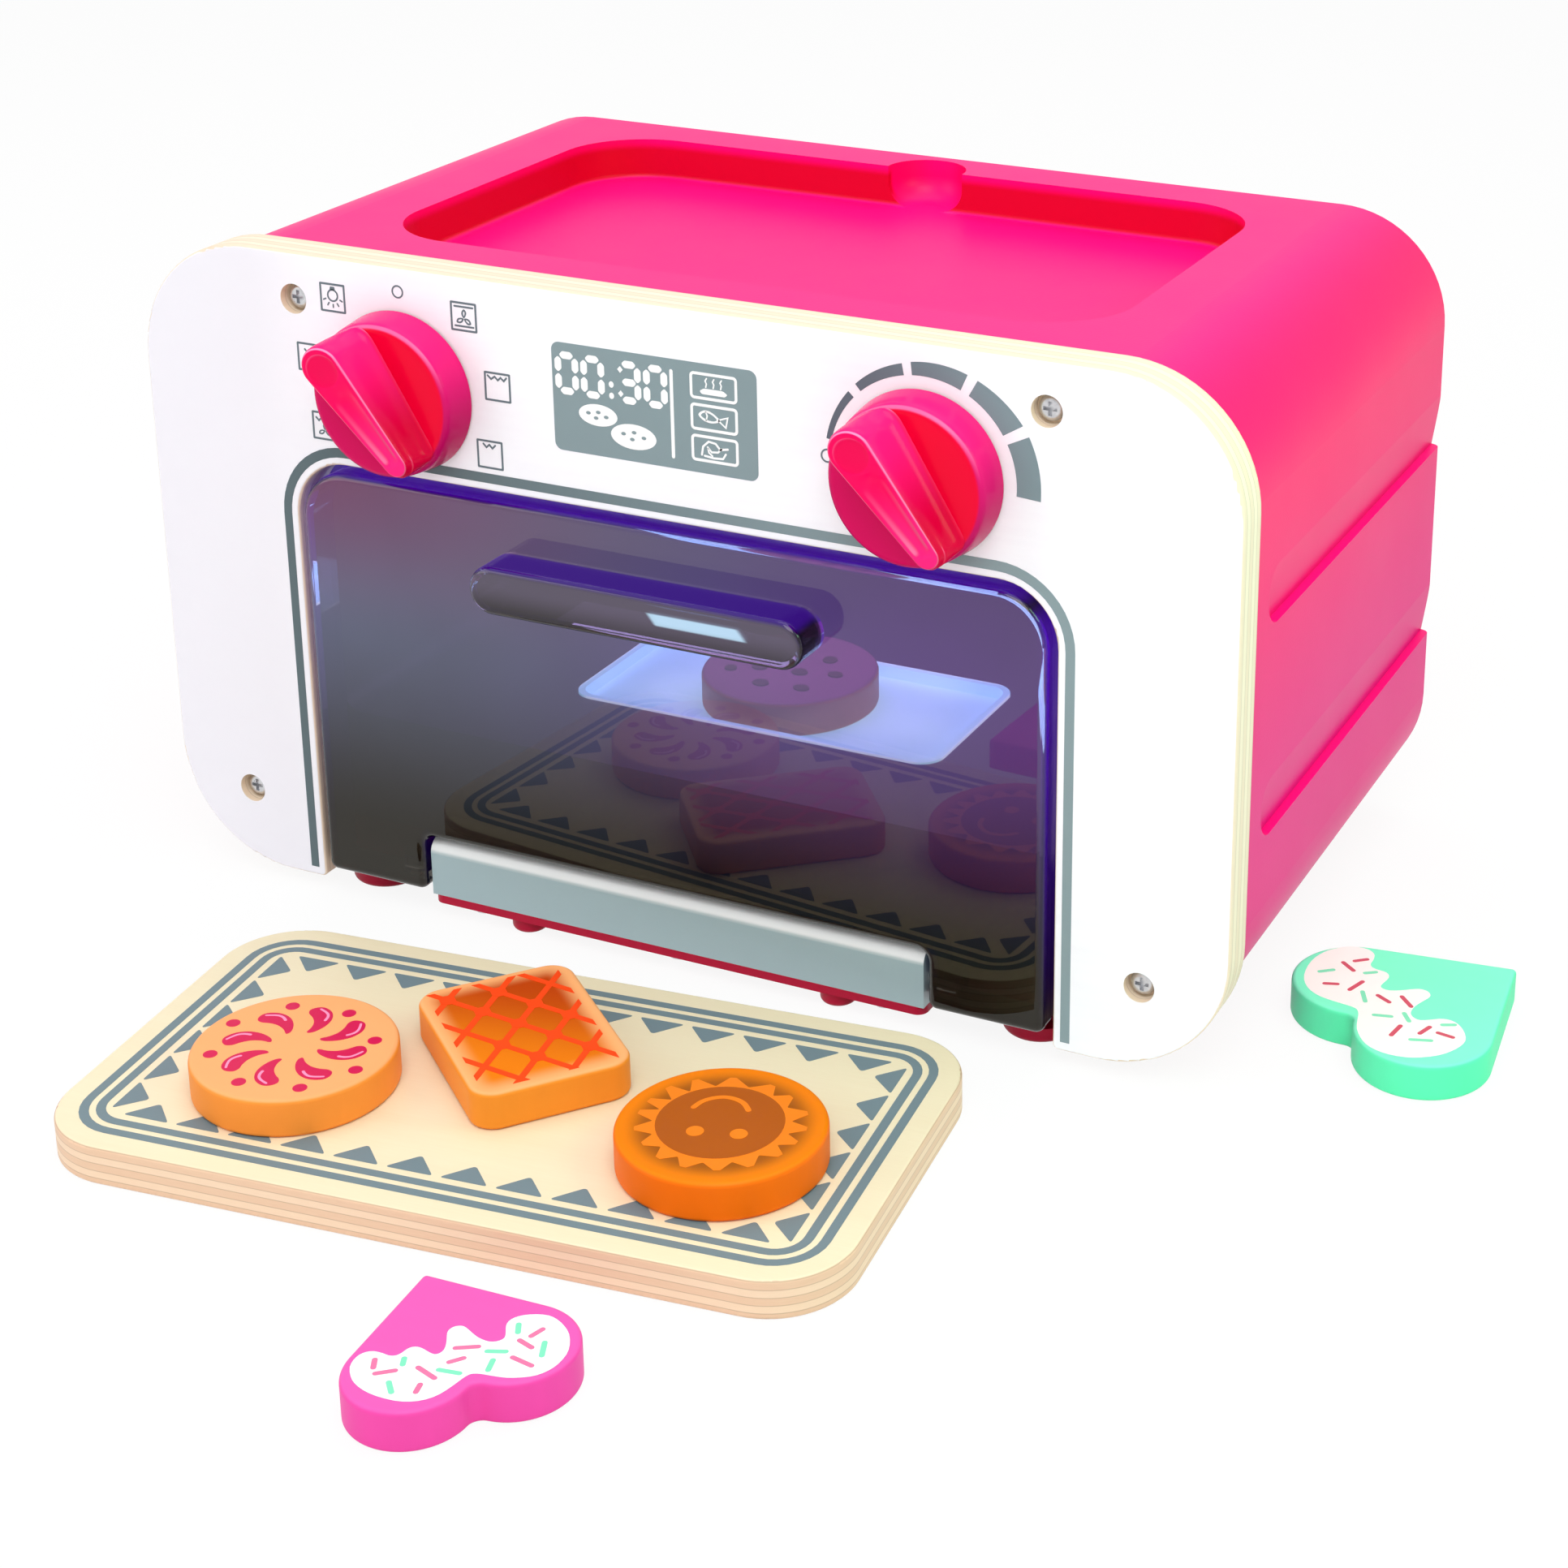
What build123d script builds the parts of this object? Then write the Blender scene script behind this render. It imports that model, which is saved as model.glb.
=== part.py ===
from build123d import *
import math
import os

# Toy oven with its wooden tray and six play biscuits. Millimetres, +Z up, the oven faces -Y.
# The origin is the centre of the oven's footprint, on the table.

# ---------------------------------------------------------------- driving dimensions
panel_width = 315.0
panel_height = 182.7
panel_thickness = 11.6
panel_corner_radius = 34.6
panel_edge_radius = 0.8
panel_ground_gap = 4.0

housing_depth = 164.8
housing_inset = 2.4
housing_wall = 2.5
housing_corner_radius = 32.0
housing_back_radius = 1.5

foot_height = 4.4
base_thickness = 2.4
base_side_margin = 2.1
base_floor_overlap = 9.0
base_panel_gap = 0.4
base_rear_margin = 4.4
base_corner_radius = 8.0

panel_leg_width = 46.5
control_band_height = 57.3
opening_corner_radius = 16.3
opening_foot_radius = 1.5

door_side_gap = 2.2
door_top_gap = 2.2
door_bottom_gap = 3.7
door_proud = 1.5
door_sheet = 3.0
door_wall = 2.5
door_depth = 11.5
door_edge_radius = 2.2
door_leg_radius = 2.5
notch_corner_radius = 3.5

handle_length = 97.0
handle_height = 13.4
handle_drop = 19.7
handle_reach = 12.5
handle_wall = 2.2
handle_edge_radius = 2.0

bar_half_length = 75.0
bar_height = 16.4
bar_depth = 10.5
bar_edge_radius = 4.0
bar_wall = 2.5
bar_end_block = 9.0
notch_side_gap = 1.5
notch_top_gap = 1.3
lip_corner_radius = 3.0

pin_radius = 2.0
pin_length = 17.0
pin_bottom_wall = 0.5
pin_running_clearance = 0.08
pin_from_bar_front = 5.0
pin_above_lip = 7.2
pin_boss_radius = 4.5
pin_boss_length = 5.0

well_side_margin = 48.1
well_front_margin = 21.4
well_back_margin = 17.4
well_depth = 12.0
well_corner_radius = 24.0
well_floor_radius = 1.5
thumb_notch_radius = 12.0
thumb_notch_floor_radius = 7.0
thumb_notch_offset = 0.5

groove_height = 15.5
groove_depth = 2.3
groove_front_margin = 15.4
upper_groove_drop = 68.1
lower_groove_rise = 51.5

knob_spacing = 150.0
knob_rise = 23.9
knob_radius = 21.8
knob_front_radius = 20.7
knob_thickness = 10.0
knob_edge_radius = 2.0
knob_panel_gap = 0.6
knob_wall = 2.4
knob_pointer_angle = 126.0
ridge_head_height = 22.0
ridge_tail_height = 18.0
ridge_head_radius = 6.0
ridge_head_offset = 13.8
ridge_tail_radius = 3.5
ridge_tail_offset = 16.5
ridge_skirt = 2.2
ridge_edge_radius = 1.1
dish_depth = 0.8
dish_head_half_width = 4.4
dish_tail_half_width = 2.2

shaft_radius = 3.0
shaft_running_clearance = 0.08
bushing_radius = 4.7
panel_bore_clearance = 0.3
switch_side = 26.0
switch_depth = 12.0
timer_radius = 14.0
timer_depth = 15.0
control_wall = 1.0
shaft_end_gap = 1.0
bushing_front_gap = 3.9
switch_corner_radius = 3.0
control_ear_length = 8.0
control_ear_thickness = 2.4
control_ear_width = 8.0

liner_wall = 2.2
cavity_side_step = 2.5
cavity_floor_z = 52.0
cavity_top_step = 1.4
cavity_back_gap = 16.8
cavity_corner_radius = 6.0
flange_margin = 9.0
flange_bottom_z = 20.0
flange_corner_radius = 4.0
liner_screw_margin = 6.0

window_half_width = 57.0
window_front_margin = 33.9
window_length = 56.5
window_corner_radius = 7.0
window_recess = 3.0
window_wall = 2.0
window_plate = 1.8
window_flange = 3.5
window_clearance = 0.2
window_rim_rise = 0.5
lamp_step_x = 35.0
lamp_step_y = 14.0

board_thickness = 1.6
board_drop = 8.0
board_margin = 4.0
board_boss_radius = 3.2
board_boss_gap = 0.5
led_radius = 2.5
led_height = 4.6

cell_radius = 7.25
cell_length = 50.5
cell_pitch = 15.5
cell_nub_length = 1.0
cell_nub_radius = 2.75
cell_edge_radius = 0.5
cell_clearance = 0.4
contact_thickness = 0.4
contact_margin = 1.0
cell_count = 3
bay_wall = 3.0
bay_ledge = 1.6
bay_end_space = 3.2
bay_side_space = 0.5
bay_back_gap = 56.2
bay_roof = 1.8
cover_thickness = 2.0
cover_clearance = 0.2
cover_tab_length = 9.0
cover_tab_width = 11.0
cover_post_height = 9.0
finger_slot_length = 18.0
finger_slot_width = 4.0
finger_slot_margin = 8.0

upstand_gap = 0.7
upstand_end_gap = 1.0
upstand_wall = 2.0
upstand_overlap = 2.0

large_foot_radius = 10.0
large_foot_inset = 20.0
front_foot_margin = 16.0
rear_foot_margin = 26.4
small_foot_radius = 5.0
small_foot_x = 47.5
small_foot_margin = 6.0
foot_edge_radius = 1.6
foot_spigot_radius = 2.8
foot_spigot_clearance = 0.05

screw_shank_radius = 1.5
screw_head_radius = 3.3
screw_head_height = 2.2
screw_boss_radius = 4.5
screw_clearance = 0.25
screw_tip_gap = 1.0
counterbore_radius = 4.1
counterbore_depth = 4.2
cross_width = 1.0
cross_length = 3.6
cross_depth = 1.3
top_screw_inset = 50.0
top_screw_drop = 12.6
bottom_screw_inset = 23.4
bottom_screw_rise = 23.0
panel_boss_length = 15.5
base_boss_height = 10.0
base_screw_front_gap = 18.0
base_screw_back_gap = 8.0

tray_length = 204.0
tray_width = 109.0
tray_thickness = 10.0
tray_corner_radius = 20.6
tray_edge_radius = 0.8
tray_centre_x = 3.1
tray_front_gap = 79.5
tray_turn = 6.0

biscuit_radius = 25.0
biscuit_thickness = 10.0
biscuit_edge_radius = 1.2
waffle_length = 54.0
waffle_width = 40.0
waffle_corner_radius = 6.5
waffle_turn = -39.7
heart_apex_radius = 1.2
heart_notch_radius = 3.0
pink_heart_width = 51.0
mint_heart_width = 64.0
pink_heart_turn = 228.5
mint_heart_turn = 141.5

# Where the loose pieces lie: how far right of the oven's middle and how far in front of its face.
jam_biscuit_x = -46.5
jam_biscuit_gap = 99.0
sun_biscuit_x = 64.4
sun_biscuit_gap = 86.4
waffle_biscuit_x = -1.2
waffle_biscuit_gap = 68.6
chip_biscuit_x = -1.5
chip_biscuit_shift = 0.6
pink_heart_x = 50.1
pink_heart_gap = 172.3
mint_heart_x = 185.7
mint_heart_gap = -46.9

# ---------------------------------------------------------------- places worked out from them
front_y = -(panel_thickness + housing_depth) / 2
panel_back_y = front_y + panel_thickness
back_y = panel_back_y + housing_depth
panel_top_z = panel_ground_gap + panel_height
panel_mid_z = panel_ground_gap + panel_height / 2
opening_half_width = panel_width / 2 - panel_leg_width
opening_height = panel_height - control_band_height
opening_top_z = panel_ground_gap + opening_height
base_top_z = foot_height + base_thickness
housing_top_z = panel_top_z - housing_inset
housing_half_width = panel_width / 2 - housing_inset
housing_height = housing_top_z - base_top_z
housing_mid_z = base_top_z + housing_height / 2
base_half_width = housing_half_width - housing_corner_radius - base_side_margin
floor_opening_half_width = base_half_width - base_floor_overlap
floor_opening_back_y = back_y - base_rear_margin - base_floor_overlap

bar_top_z = base_top_z + bar_height
pin_y = front_y + pin_from_bar_front
pin_z = base_top_z + pin_above_lip

door_half_width = opening_half_width - door_side_gap
door_top_z = opening_top_z - door_top_gap
door_bottom_z = panel_ground_gap + door_bottom_gap
door_front_y = front_y - door_proud
door_back_y = door_front_y + door_depth
door_corner_radius = opening_corner_radius - door_side_gap
notch_half_width = bar_half_length + notch_side_gap
notch_top_z = bar_top_z + notch_top_gap
handle_z = door_top_z - handle_drop

well_half_width = housing_half_width - well_side_margin
well_front_y = panel_back_y + well_front_margin
well_back_y = back_y - well_back_margin
well_length = well_back_y - well_front_y
well_mid_y = (well_front_y + well_back_y) / 2
well_floor_z = housing_top_z - well_depth
thumb_notch_y = well_back_y + thumb_notch_offset
upper_groove_z = housing_top_z - upper_groove_drop
lower_groove_z = base_top_z + lower_groove_rise

cavity_half_width = opening_half_width - cavity_side_step
cavity_top_z = opening_top_z - cavity_top_step
cavity_height = cavity_top_z - cavity_floor_z
cavity_back_y = back_y - cavity_back_gap
flange_half_width = opening_half_width + flange_margin
flange_top_z = opening_top_z + flange_margin / 2
window_front_y = panel_back_y + window_front_margin
window_mid_y = window_front_y + window_length / 2
window_floor_z = cavity_floor_z - window_recess
board_top_z = cavity_floor_z - liner_wall - board_drop
board_screw_x = window_half_width + window_flange + board_boss_radius + board_boss_gap
board_half_width = board_screw_x + board_boss_radius + board_boss_gap
board_screw_y = window_length / 2 - board_margin

bay_centre_y = back_y - bay_back_gap
bay_half_length = cell_length / 2 + bay_end_space
bay_half_width = cell_pitch * cell_count / 2 + bay_side_space
cover_top_z = foot_height + cover_thickness
cover_half_x = bay_half_length + bay_ledge
cover_half_y = bay_half_width + bay_ledge
cover_screw_y = bay_centre_y - cover_half_y - cover_tab_length / 2
cover_post_top_z = cover_top_z + cover_post_height
cell_z = cover_top_z + cell_radius + cell_clearance
bay_top_z = cell_z + cell_radius + cell_clearance

large_foot_x = base_half_width - large_foot_inset
front_foot_y = front_y + front_foot_margin
rear_foot_y = back_y - rear_foot_margin
small_foot_y = front_y + small_foot_margin

top_screw_x = panel_width / 2 - top_screw_inset
bottom_screw_x = panel_width / 2 - bottom_screw_inset
top_screw_z = panel_top_z - top_screw_drop
bottom_screw_z = panel_ground_gap + bottom_screw_rise
panel_screw_places = [
    (side * screw_x, screw_z)
    for side in (-1, 1)
    for screw_x, screw_z in ((top_screw_x, top_screw_z), (bottom_screw_x, bottom_screw_z))
]
base_screw_x = base_half_width - base_floor_overlap / 2
base_screw_ys = [
    panel_back_y + base_screw_front_gap,
    (panel_back_y + floor_opening_back_y) / 2,
    floor_opening_back_y - base_screw_back_gap,
]
knob_z = opening_top_z + knob_rise
knob_places = {"left": (-knob_spacing / 2, knob_z), "right": (knob_spacing / 2, knob_z)}
foot_places_large = [(side * large_foot_x, y) for side in (-1, 1) for y in (front_foot_y, rear_foot_y)]
foot_places_small = [(side * small_foot_x, small_foot_y) for side in (-1, 1)]


# ---------------------------------------------------------------- helpers
def face_plane(y):
    """A plane at depth y seen from the front: its own x is X and its own y is Z."""
    return Plane(origin=(0, y, 0), x_dir=(1, 0, 0), z_dir=(0, -1, 0))


def through(sketch, y_near, y_far):
    """Extrude a front-view sketch from depth y_near back to depth y_far."""
    return extrude(face_plane(y_near) * sketch, amount=-(y_far - y_near))


def upward(sketch, z_low, z_high):
    """Extrude a plan-view sketch from height z_low to height z_high."""
    return extrude(Plane.XY.offset(z_low) * sketch, amount=z_high - z_low)


def block(x_range, y_range, z_range):
    """A plain box between three pairs of limits."""
    size = [high - low for low, high in (x_range, y_range, z_range)]
    middle = [(high + low) / 2 for low, high in (x_range, y_range, z_range)]
    return Pos(*middle) * Box(*size)


def rounded_at(sketch, points, radius):
    """Round the sketch corners that lie nearest to the given points."""
    for x, y in points:
        corner = sketch.vertices().sort_by_distance((x, y, 0))[0]
        sketch = fillet(corner, radius)
    return sketch


def y_cylinder(radius, x, z, y_near, y_far):
    """A round bar along Y."""
    return through(Pos(x, z) * Circle(radius), y_near, y_far)


def x_cylinder(radius, y, z, x_low, x_high):
    """A round bar along X."""
    plane = Plane(origin=(x_low, y, z), x_dir=(0, 1, 0), z_dir=(1, 0, 0))
    return extrude(plane * Circle(radius), amount=x_high - x_low)


def z_cylinder(radius, x, y, z_low, z_high):
    """A round bar along Z."""
    return upward(Pos(x, y) * Circle(radius), z_low, z_high)


def screw(shank_length):
    """A pan head screw along its own Z: the head's seat is at 0 and the shank runs down."""
    shank = Pos(0, 0, -shank_length / 2) * Cylinder(screw_shank_radius, shank_length)
    head = Pos(0, 0, screw_head_height / 2) * Cylinder(screw_head_radius, screw_head_height)
    head = fillet(head.edges().group_by(Axis.Z)[-1], screw_head_height * 0.6)
    slot = Box(cross_length, cross_width, cross_depth) + Box(cross_width, cross_length, cross_depth)
    return shank + head - Pos(0, 0, screw_head_height - cross_depth / 2) * slot


def toward_front(x, y, z):
    """The place of a piece whose own Z points out of the front of the oven."""
    return Plane(origin=(x, y, z), x_dir=(1, 0, 0), z_dir=(0, -1, 0)).location


def toward_back(x, y, z):
    """The place of a piece whose own Z points to the back of the oven."""
    return Plane(origin=(x, y, z), x_dir=(1, 0, 0), z_dir=(0, 1, 0)).location


def downward(x, y, z):
    """The place of a piece whose own Z points down."""
    return Plane(origin=(x, y, z), x_dir=(1, 0, 0), z_dir=(0, 0, -1)).location


# ---------------------------------------------------------------- wooden front panel
def door_opening():
    """The front-view shape of the opening: an arch that runs out at the panel's bottom."""
    depth_below = opening_corner_radius * 2
    height = opening_height + depth_below
    arch = RectangleRounded(2 * opening_half_width, height, opening_corner_radius)
    return Pos(0, opening_top_z - height / 2) * arch


def front_panel():
    board = Pos(0, panel_mid_z) * RectangleRounded(panel_width, panel_height, panel_corner_radius)
    board = board - door_opening()
    leg_corners = [(side * opening_half_width, panel_ground_gap) for side in (-1, 1)]
    board = rounded_at(board, leg_corners, opening_foot_radius)
    panel = through(board, front_y, panel_back_y)
    panel = fillet(panel.faces().sort_by(Axis.Y)[0].outer_wire().edges(), panel_edge_radius)
    for x, z in panel_screw_places:
        panel -= y_cylinder(counterbore_radius, x, z, front_y, front_y + counterbore_depth)
        panel -= y_cylinder(screw_shank_radius + screw_clearance, x, z, front_y, panel_back_y)
    for x, z in knob_places.values():
        panel -= y_cylinder(bushing_radius + panel_bore_clearance, x, z, front_y, panel_back_y)
    for x, z in liner_screw_places() + control_screw_places():
        panel -= y_cylinder(screw_shank_radius, x, z, panel_back_y - panel_thickness / 2, panel_back_y)
    return panel


# ---------------------------------------------------------------- moulded housing
def housing_section(inset=0.0):
    """The housing's cross-section seen from the front, drawn in by an inset."""
    section = RectangleRounded(
        2 * (housing_half_width - inset),
        housing_height - 2 * inset,
        housing_corner_radius - inset,
    )
    return Pos(0, housing_mid_z) * section


def well_plan(grow=0.0):
    """The plan of the storage well in the top."""
    well = RectangleRounded(
        2 * (well_half_width + grow),
        well_length + 2 * grow,
        well_corner_radius + grow,
    )
    return Pos(0, well_mid_y) * well


def well_cutter(top_z):
    """The room inside the well, with its scooped thumb notch, up to top_z."""
    room = upward(well_plan(), well_floor_z, top_z)
    room = fillet(room.faces().sort_by(Axis.Z)[0].edges(), well_floor_radius)
    notch = z_cylinder(thumb_notch_radius, 0, thumb_notch_y, well_floor_z, top_z)
    notch = fillet(notch.faces().sort_by(Axis.Z)[0].edges(), thumb_notch_floor_radius)
    return room + notch


def groove_cutter(side, low_z):
    """A slot let into a side wall: deep at its lower edge and fading out at its upper edge."""
    tilt = math.atan2(groove_depth, groove_height)
    start_y = panel_back_y + groove_front_margin
    run = back_y - start_y + groove_height
    plane = Plane(
        origin=(side * housing_half_width, start_y + run / 2, low_z + groove_height),
        x_dir=(0, 1, 0),
        z_dir=(side * math.cos(tilt), 0, -math.sin(tilt)),
    )
    slot = Pos(0, -side * groove_height / 2) * SlotOverall(run, groove_height)
    return extrude(plane * slot, amount=groove_depth * 3)


def groove_backing(side, low_z):
    """The thicker wall behind a groove, which keeps the moulding closed."""
    inner = housing_half_width - housing_wall
    y_range = (panel_back_y + groove_front_margin - housing_wall, back_y - housing_wall / 2)
    z_range = (low_z - housing_wall, low_z + groove_height)
    if side > 0:
        return block((inner - groove_depth, inner + housing_wall / 2), y_range, z_range)
    return block((-inner - housing_wall / 2, -inner + groove_depth), y_range, z_range)


def panel_boss(x, z):
    """A screw boss behind the front panel, with a web to the nearest wall."""
    boss_back_y = panel_back_y + panel_boss_length
    boss = y_cylinder(screw_boss_radius, x, z, panel_back_y, boss_back_y)
    corner_x = math.copysign(housing_half_width - housing_corner_radius, x)
    if z > panel_mid_z:
        reach = housing_top_z - housing_wall / 2 - z
        web = through(Pos(x, z + reach / 2) * Rectangle(housing_wall, reach), panel_back_y, boss_back_y)
        return boss + web
    corner_z = base_top_z + housing_corner_radius
    angle = math.atan2(z - corner_z, x - corner_x)
    reach = housing_corner_radius - housing_wall / 2
    start = math.hypot(z - corner_z, x - corner_x)
    middle = (start + reach) / 2
    web = Pos(corner_x, corner_z) * Rot(0, 0, math.degrees(angle)) * Pos(middle, 0)
    web = web * Rectangle(reach - start, housing_wall)
    return boss + through(web, panel_back_y, boss_back_y)


def housing():
    shell = through(housing_section(), panel_back_y, back_y)
    shell = fillet(shell.faces().sort_by(Axis.Y)[-1].edges(), housing_back_radius)
    shell -= through(housing_section(housing_wall), panel_back_y, back_y - housing_wall)
    shell += upward(well_plan(housing_wall), well_floor_z - housing_wall, housing_top_z)
    notch_radius = thumb_notch_radius + housing_wall
    notch_wall = z_cylinder(
        notch_radius, 0, thumb_notch_y, well_floor_z - housing_wall, housing_top_z - housing_wall / 2
    )
    shell += notch_wall & through(housing_section(), panel_back_y, back_y - housing_wall / 2)
    shell -= well_cutter(housing_top_z + well_depth)
    for side in (-1, 1):
        for low_z in (lower_groove_z, upper_groove_z):
            shell += groove_backing(side, low_z)
            shell -= groove_cutter(side, low_z)
    shell -= block(
        (-floor_opening_half_width, floor_opening_half_width),
        (panel_back_y, floor_opening_back_y),
        (base_top_z, base_top_z + housing_wall),
    )
    for x, z in panel_screw_places:
        shell += panel_boss(x, z)
        boss_back_y = panel_back_y + panel_boss_length
        shell -= y_cylinder(screw_shank_radius, x, z, panel_back_y, boss_back_y - housing_wall)
    for side in (-1, 1):
        for y in base_screw_ys:
            top_z = base_top_z + base_boss_height
            shell += z_cylinder(screw_boss_radius, side * base_screw_x, y, base_top_z, top_z)
            shell -= z_cylinder(screw_shank_radius, side * base_screw_x, y, base_top_z, top_z - housing_wall)
    return shell


# ---------------------------------------------------------------- base plate and what it carries
def cover_plan(inset=0.0):
    """The plan of the battery cover with its screw tab at the front."""
    lid = Rectangle(2 * (cover_half_x - inset), 2 * (cover_half_y - inset))
    tab = Rectangle(cover_tab_width - 2 * inset, cover_tab_length)
    return Pos(0, bay_centre_y) * lid + Pos(0, cover_screw_y + inset) * tab


def base_plate():
    plate_front_y = panel_back_y + base_panel_gap
    plate_back_y = back_y - base_rear_margin
    plate = block(
        (-base_half_width, base_half_width), (plate_front_y, plate_back_y), (foot_height, base_top_z)
    )
    plate = fillet(plate.edges().filter_by(Axis.Z).group_by(Axis.Y)[-1], base_corner_radius)
    lip = block((-bar_half_length, bar_half_length), (front_y, plate_front_y), (foot_height, base_top_z))
    lip = fillet(lip.edges().filter_by(Axis.Z).group_by(Axis.Y)[0], lip_corner_radius)
    plate += lip
    wall_front_y = panel_back_y + liner_wall + upstand_gap
    wall_top_z = flange_bottom_z + upstand_overlap
    plate += block(
        (upstand_end_gap - floor_opening_half_width, floor_opening_half_width - upstand_end_gap),
        (wall_front_y, wall_front_y + upstand_wall),
        (foot_height, wall_top_z),
    )
    bay_x = bay_half_length + bay_wall
    bay_y = bay_half_width + bay_wall
    plate += block(
        (-bay_x, bay_x),
        (bay_centre_y - bay_y, bay_centre_y + bay_y),
        (foot_height, bay_top_z + bay_roof),
    )
    plate -= block(
        (-bay_half_length, bay_half_length),
        (bay_centre_y - bay_half_width, bay_centre_y + bay_half_width),
        (foot_height, bay_top_z),
    )
    plate += z_cylinder(screw_boss_radius, 0, cover_screw_y, foot_height, cover_post_top_z)
    plate -= upward(cover_plan(), foot_height, cover_top_z)
    plate -= z_cylinder(screw_shank_radius, 0, cover_screw_y, cover_top_z, cover_post_top_z - bay_roof)
    for side in (-1, 1):
        for y in base_screw_ys:
            radius = screw_shank_radius + screw_clearance
            plate -= z_cylinder(radius, side * base_screw_x, y, foot_height, base_top_z)
    for x in bar_screw_xs():
        radius = screw_shank_radius + screw_clearance
        plate -= z_cylinder(radius, x, front_y + bar_depth / 2, foot_height, base_top_z)
    for x, y in foot_places_large + foot_places_small:
        radius = foot_spigot_radius + foot_spigot_clearance
        plate -= z_cylinder(radius, x, y, foot_height, base_top_z)
    return plate


def foot(radius):
    """A round foot with its seat at Z 0 and a spigot above it."""
    pad = Pos(0, 0, -foot_height / 2) * Cylinder(radius, foot_height)
    pad = fillet(pad.edges().group_by(Axis.Z)[0], foot_edge_radius)
    spigot = Pos(0, 0, base_thickness / 2) * Cylinder(foot_spigot_radius, base_thickness)
    return pad + spigot


def feet(places, radius):
    return Compound(children=[Pos(x, y, foot_height) * foot(radius) for x, y in places])


def battery_cover():
    cover = upward(cover_plan(cover_clearance), foot_height, cover_top_z)
    finger_slot = SlotOverall(finger_slot_length, finger_slot_width)
    finger_slot = Pos(0, bay_centre_y + cover_half_y - finger_slot_margin) * finger_slot
    cover -= upward(finger_slot, foot_height, foot_height + cover_thickness / 2)
    radius = screw_shank_radius + screw_clearance
    return cover - z_cylinder(radius, 0, cover_screw_y, foot_height, cover_top_z)


def cell():
    """One round cell along X with its raised contact."""
    case_end = cell_length / 2 - cell_nub_length
    case = x_cylinder(cell_radius, 0, 0, -cell_length / 2, case_end)
    case = fillet(case.edges().filter_by(GeomType.CIRCLE), cell_edge_radius)
    return case + x_cylinder(cell_nub_radius, 0, 0, case_end - cell_edge_radius, cell_length / 2)


def cell_rows():
    """The depths at which the cells lie."""
    return [bay_centre_y + (row - (cell_count - 1) / 2) * cell_pitch for row in range(cell_count)]


def batteries():
    cells = [Pos(0, y, cell_z) * cell() for y in cell_rows()]
    return Compound(children=cells)


def battery_contacts():
    """A flat plate at one end of each cell and a coiled spring on a plate at the other."""
    half = cell_radius - contact_margin
    made = []
    for y in cell_rows():
        for side in (-1, 1):
            wall_x = side * bay_half_length
            inner_x = wall_x - side * contact_thickness
            x_range = (min(wall_x, inner_x), max(wall_x, inner_x))
            plate = block(x_range, (y - half, y + half), (cell_z - half, cell_z + half))
            tip_x = side * cell_length / 2
            low_x = min(inner_x, tip_x)
            high_x = max(inner_x, tip_x)
            ring = x_cylinder(half * 0.6, y, cell_z, low_x, high_x)
            ring -= x_cylinder(half * 0.4, y, cell_z, low_x, high_x)
            made.append(plate + ring)
    return Compound(children=made)


# ---------------------------------------------------------------- door, hinge bar and pins
def door_outline():
    """The door seen from the front: an arch with a notch that clears the hinge bar."""
    height = door_top_z - door_bottom_z
    sheet = Pos(0, door_bottom_z + height / 2) * Rectangle(2 * door_half_width, height)
    notch_height = notch_top_z - door_bottom_z
    sheet -= Pos(0, door_bottom_z + notch_height / 2) * Rectangle(2 * notch_half_width, notch_height)
    top_corners = [(side * door_half_width, door_top_z) for side in (-1, 1)]
    leg_corners = [(side * x, door_bottom_z) for side in (-1, 1) for x in (door_half_width, notch_half_width)]
    notch_corners = [(side * notch_half_width, notch_top_z) for side in (-1, 1)]
    sheet = rounded_at(sheet, top_corners, door_corner_radius)
    sheet = rounded_at(sheet, leg_corners, door_leg_radius)
    return rounded_at(sheet, notch_corners, notch_corner_radius)


def handle_outline(inset=0.0):
    slot = SlotOverall(handle_length - 2 * inset, handle_height - 2 * inset)
    return Pos(0, handle_z) * slot


def door():
    outline = door_outline()
    shell = through(outline, door_front_y, door_back_y)
    shell = fillet(shell.faces().sort_by(Axis.Y)[0].edges(), door_edge_radius)
    room = offset(outline, amount=-door_wall, kind=Kind.INTERSECTION)
    shell -= through(room, door_front_y + door_sheet, door_back_y)
    handle_front_y = door_front_y - handle_reach
    grip = through(handle_outline(), handle_front_y, door_front_y + door_sheet / 2)
    grip = fillet(grip.faces().sort_by(Axis.Y)[0].edges(), handle_edge_radius)
    shell += grip
    shell -= through(handle_outline(handle_wall), handle_front_y + handle_wall, door_back_y)
    for side in (-1, 1):
        near_x = side * notch_half_width
        far_x = side * (notch_half_width + door_wall + pin_boss_length)
        low_x = min(near_x, far_x)
        high_x = max(near_x, far_x)
        boss = x_cylinder(pin_boss_radius, pin_y, pin_z, low_x, high_x)
        shell += boss
        shell -= x_cylinder(pin_radius + pin_running_clearance, pin_y, pin_z, low_x, high_x)
    return shell


def bar_screw_xs():
    """The places along the hinge bar of the screws that hold it from below."""
    reach = bar_half_length - bar_end_block - screw_boss_radius
    return [-reach, 0, reach]


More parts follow.
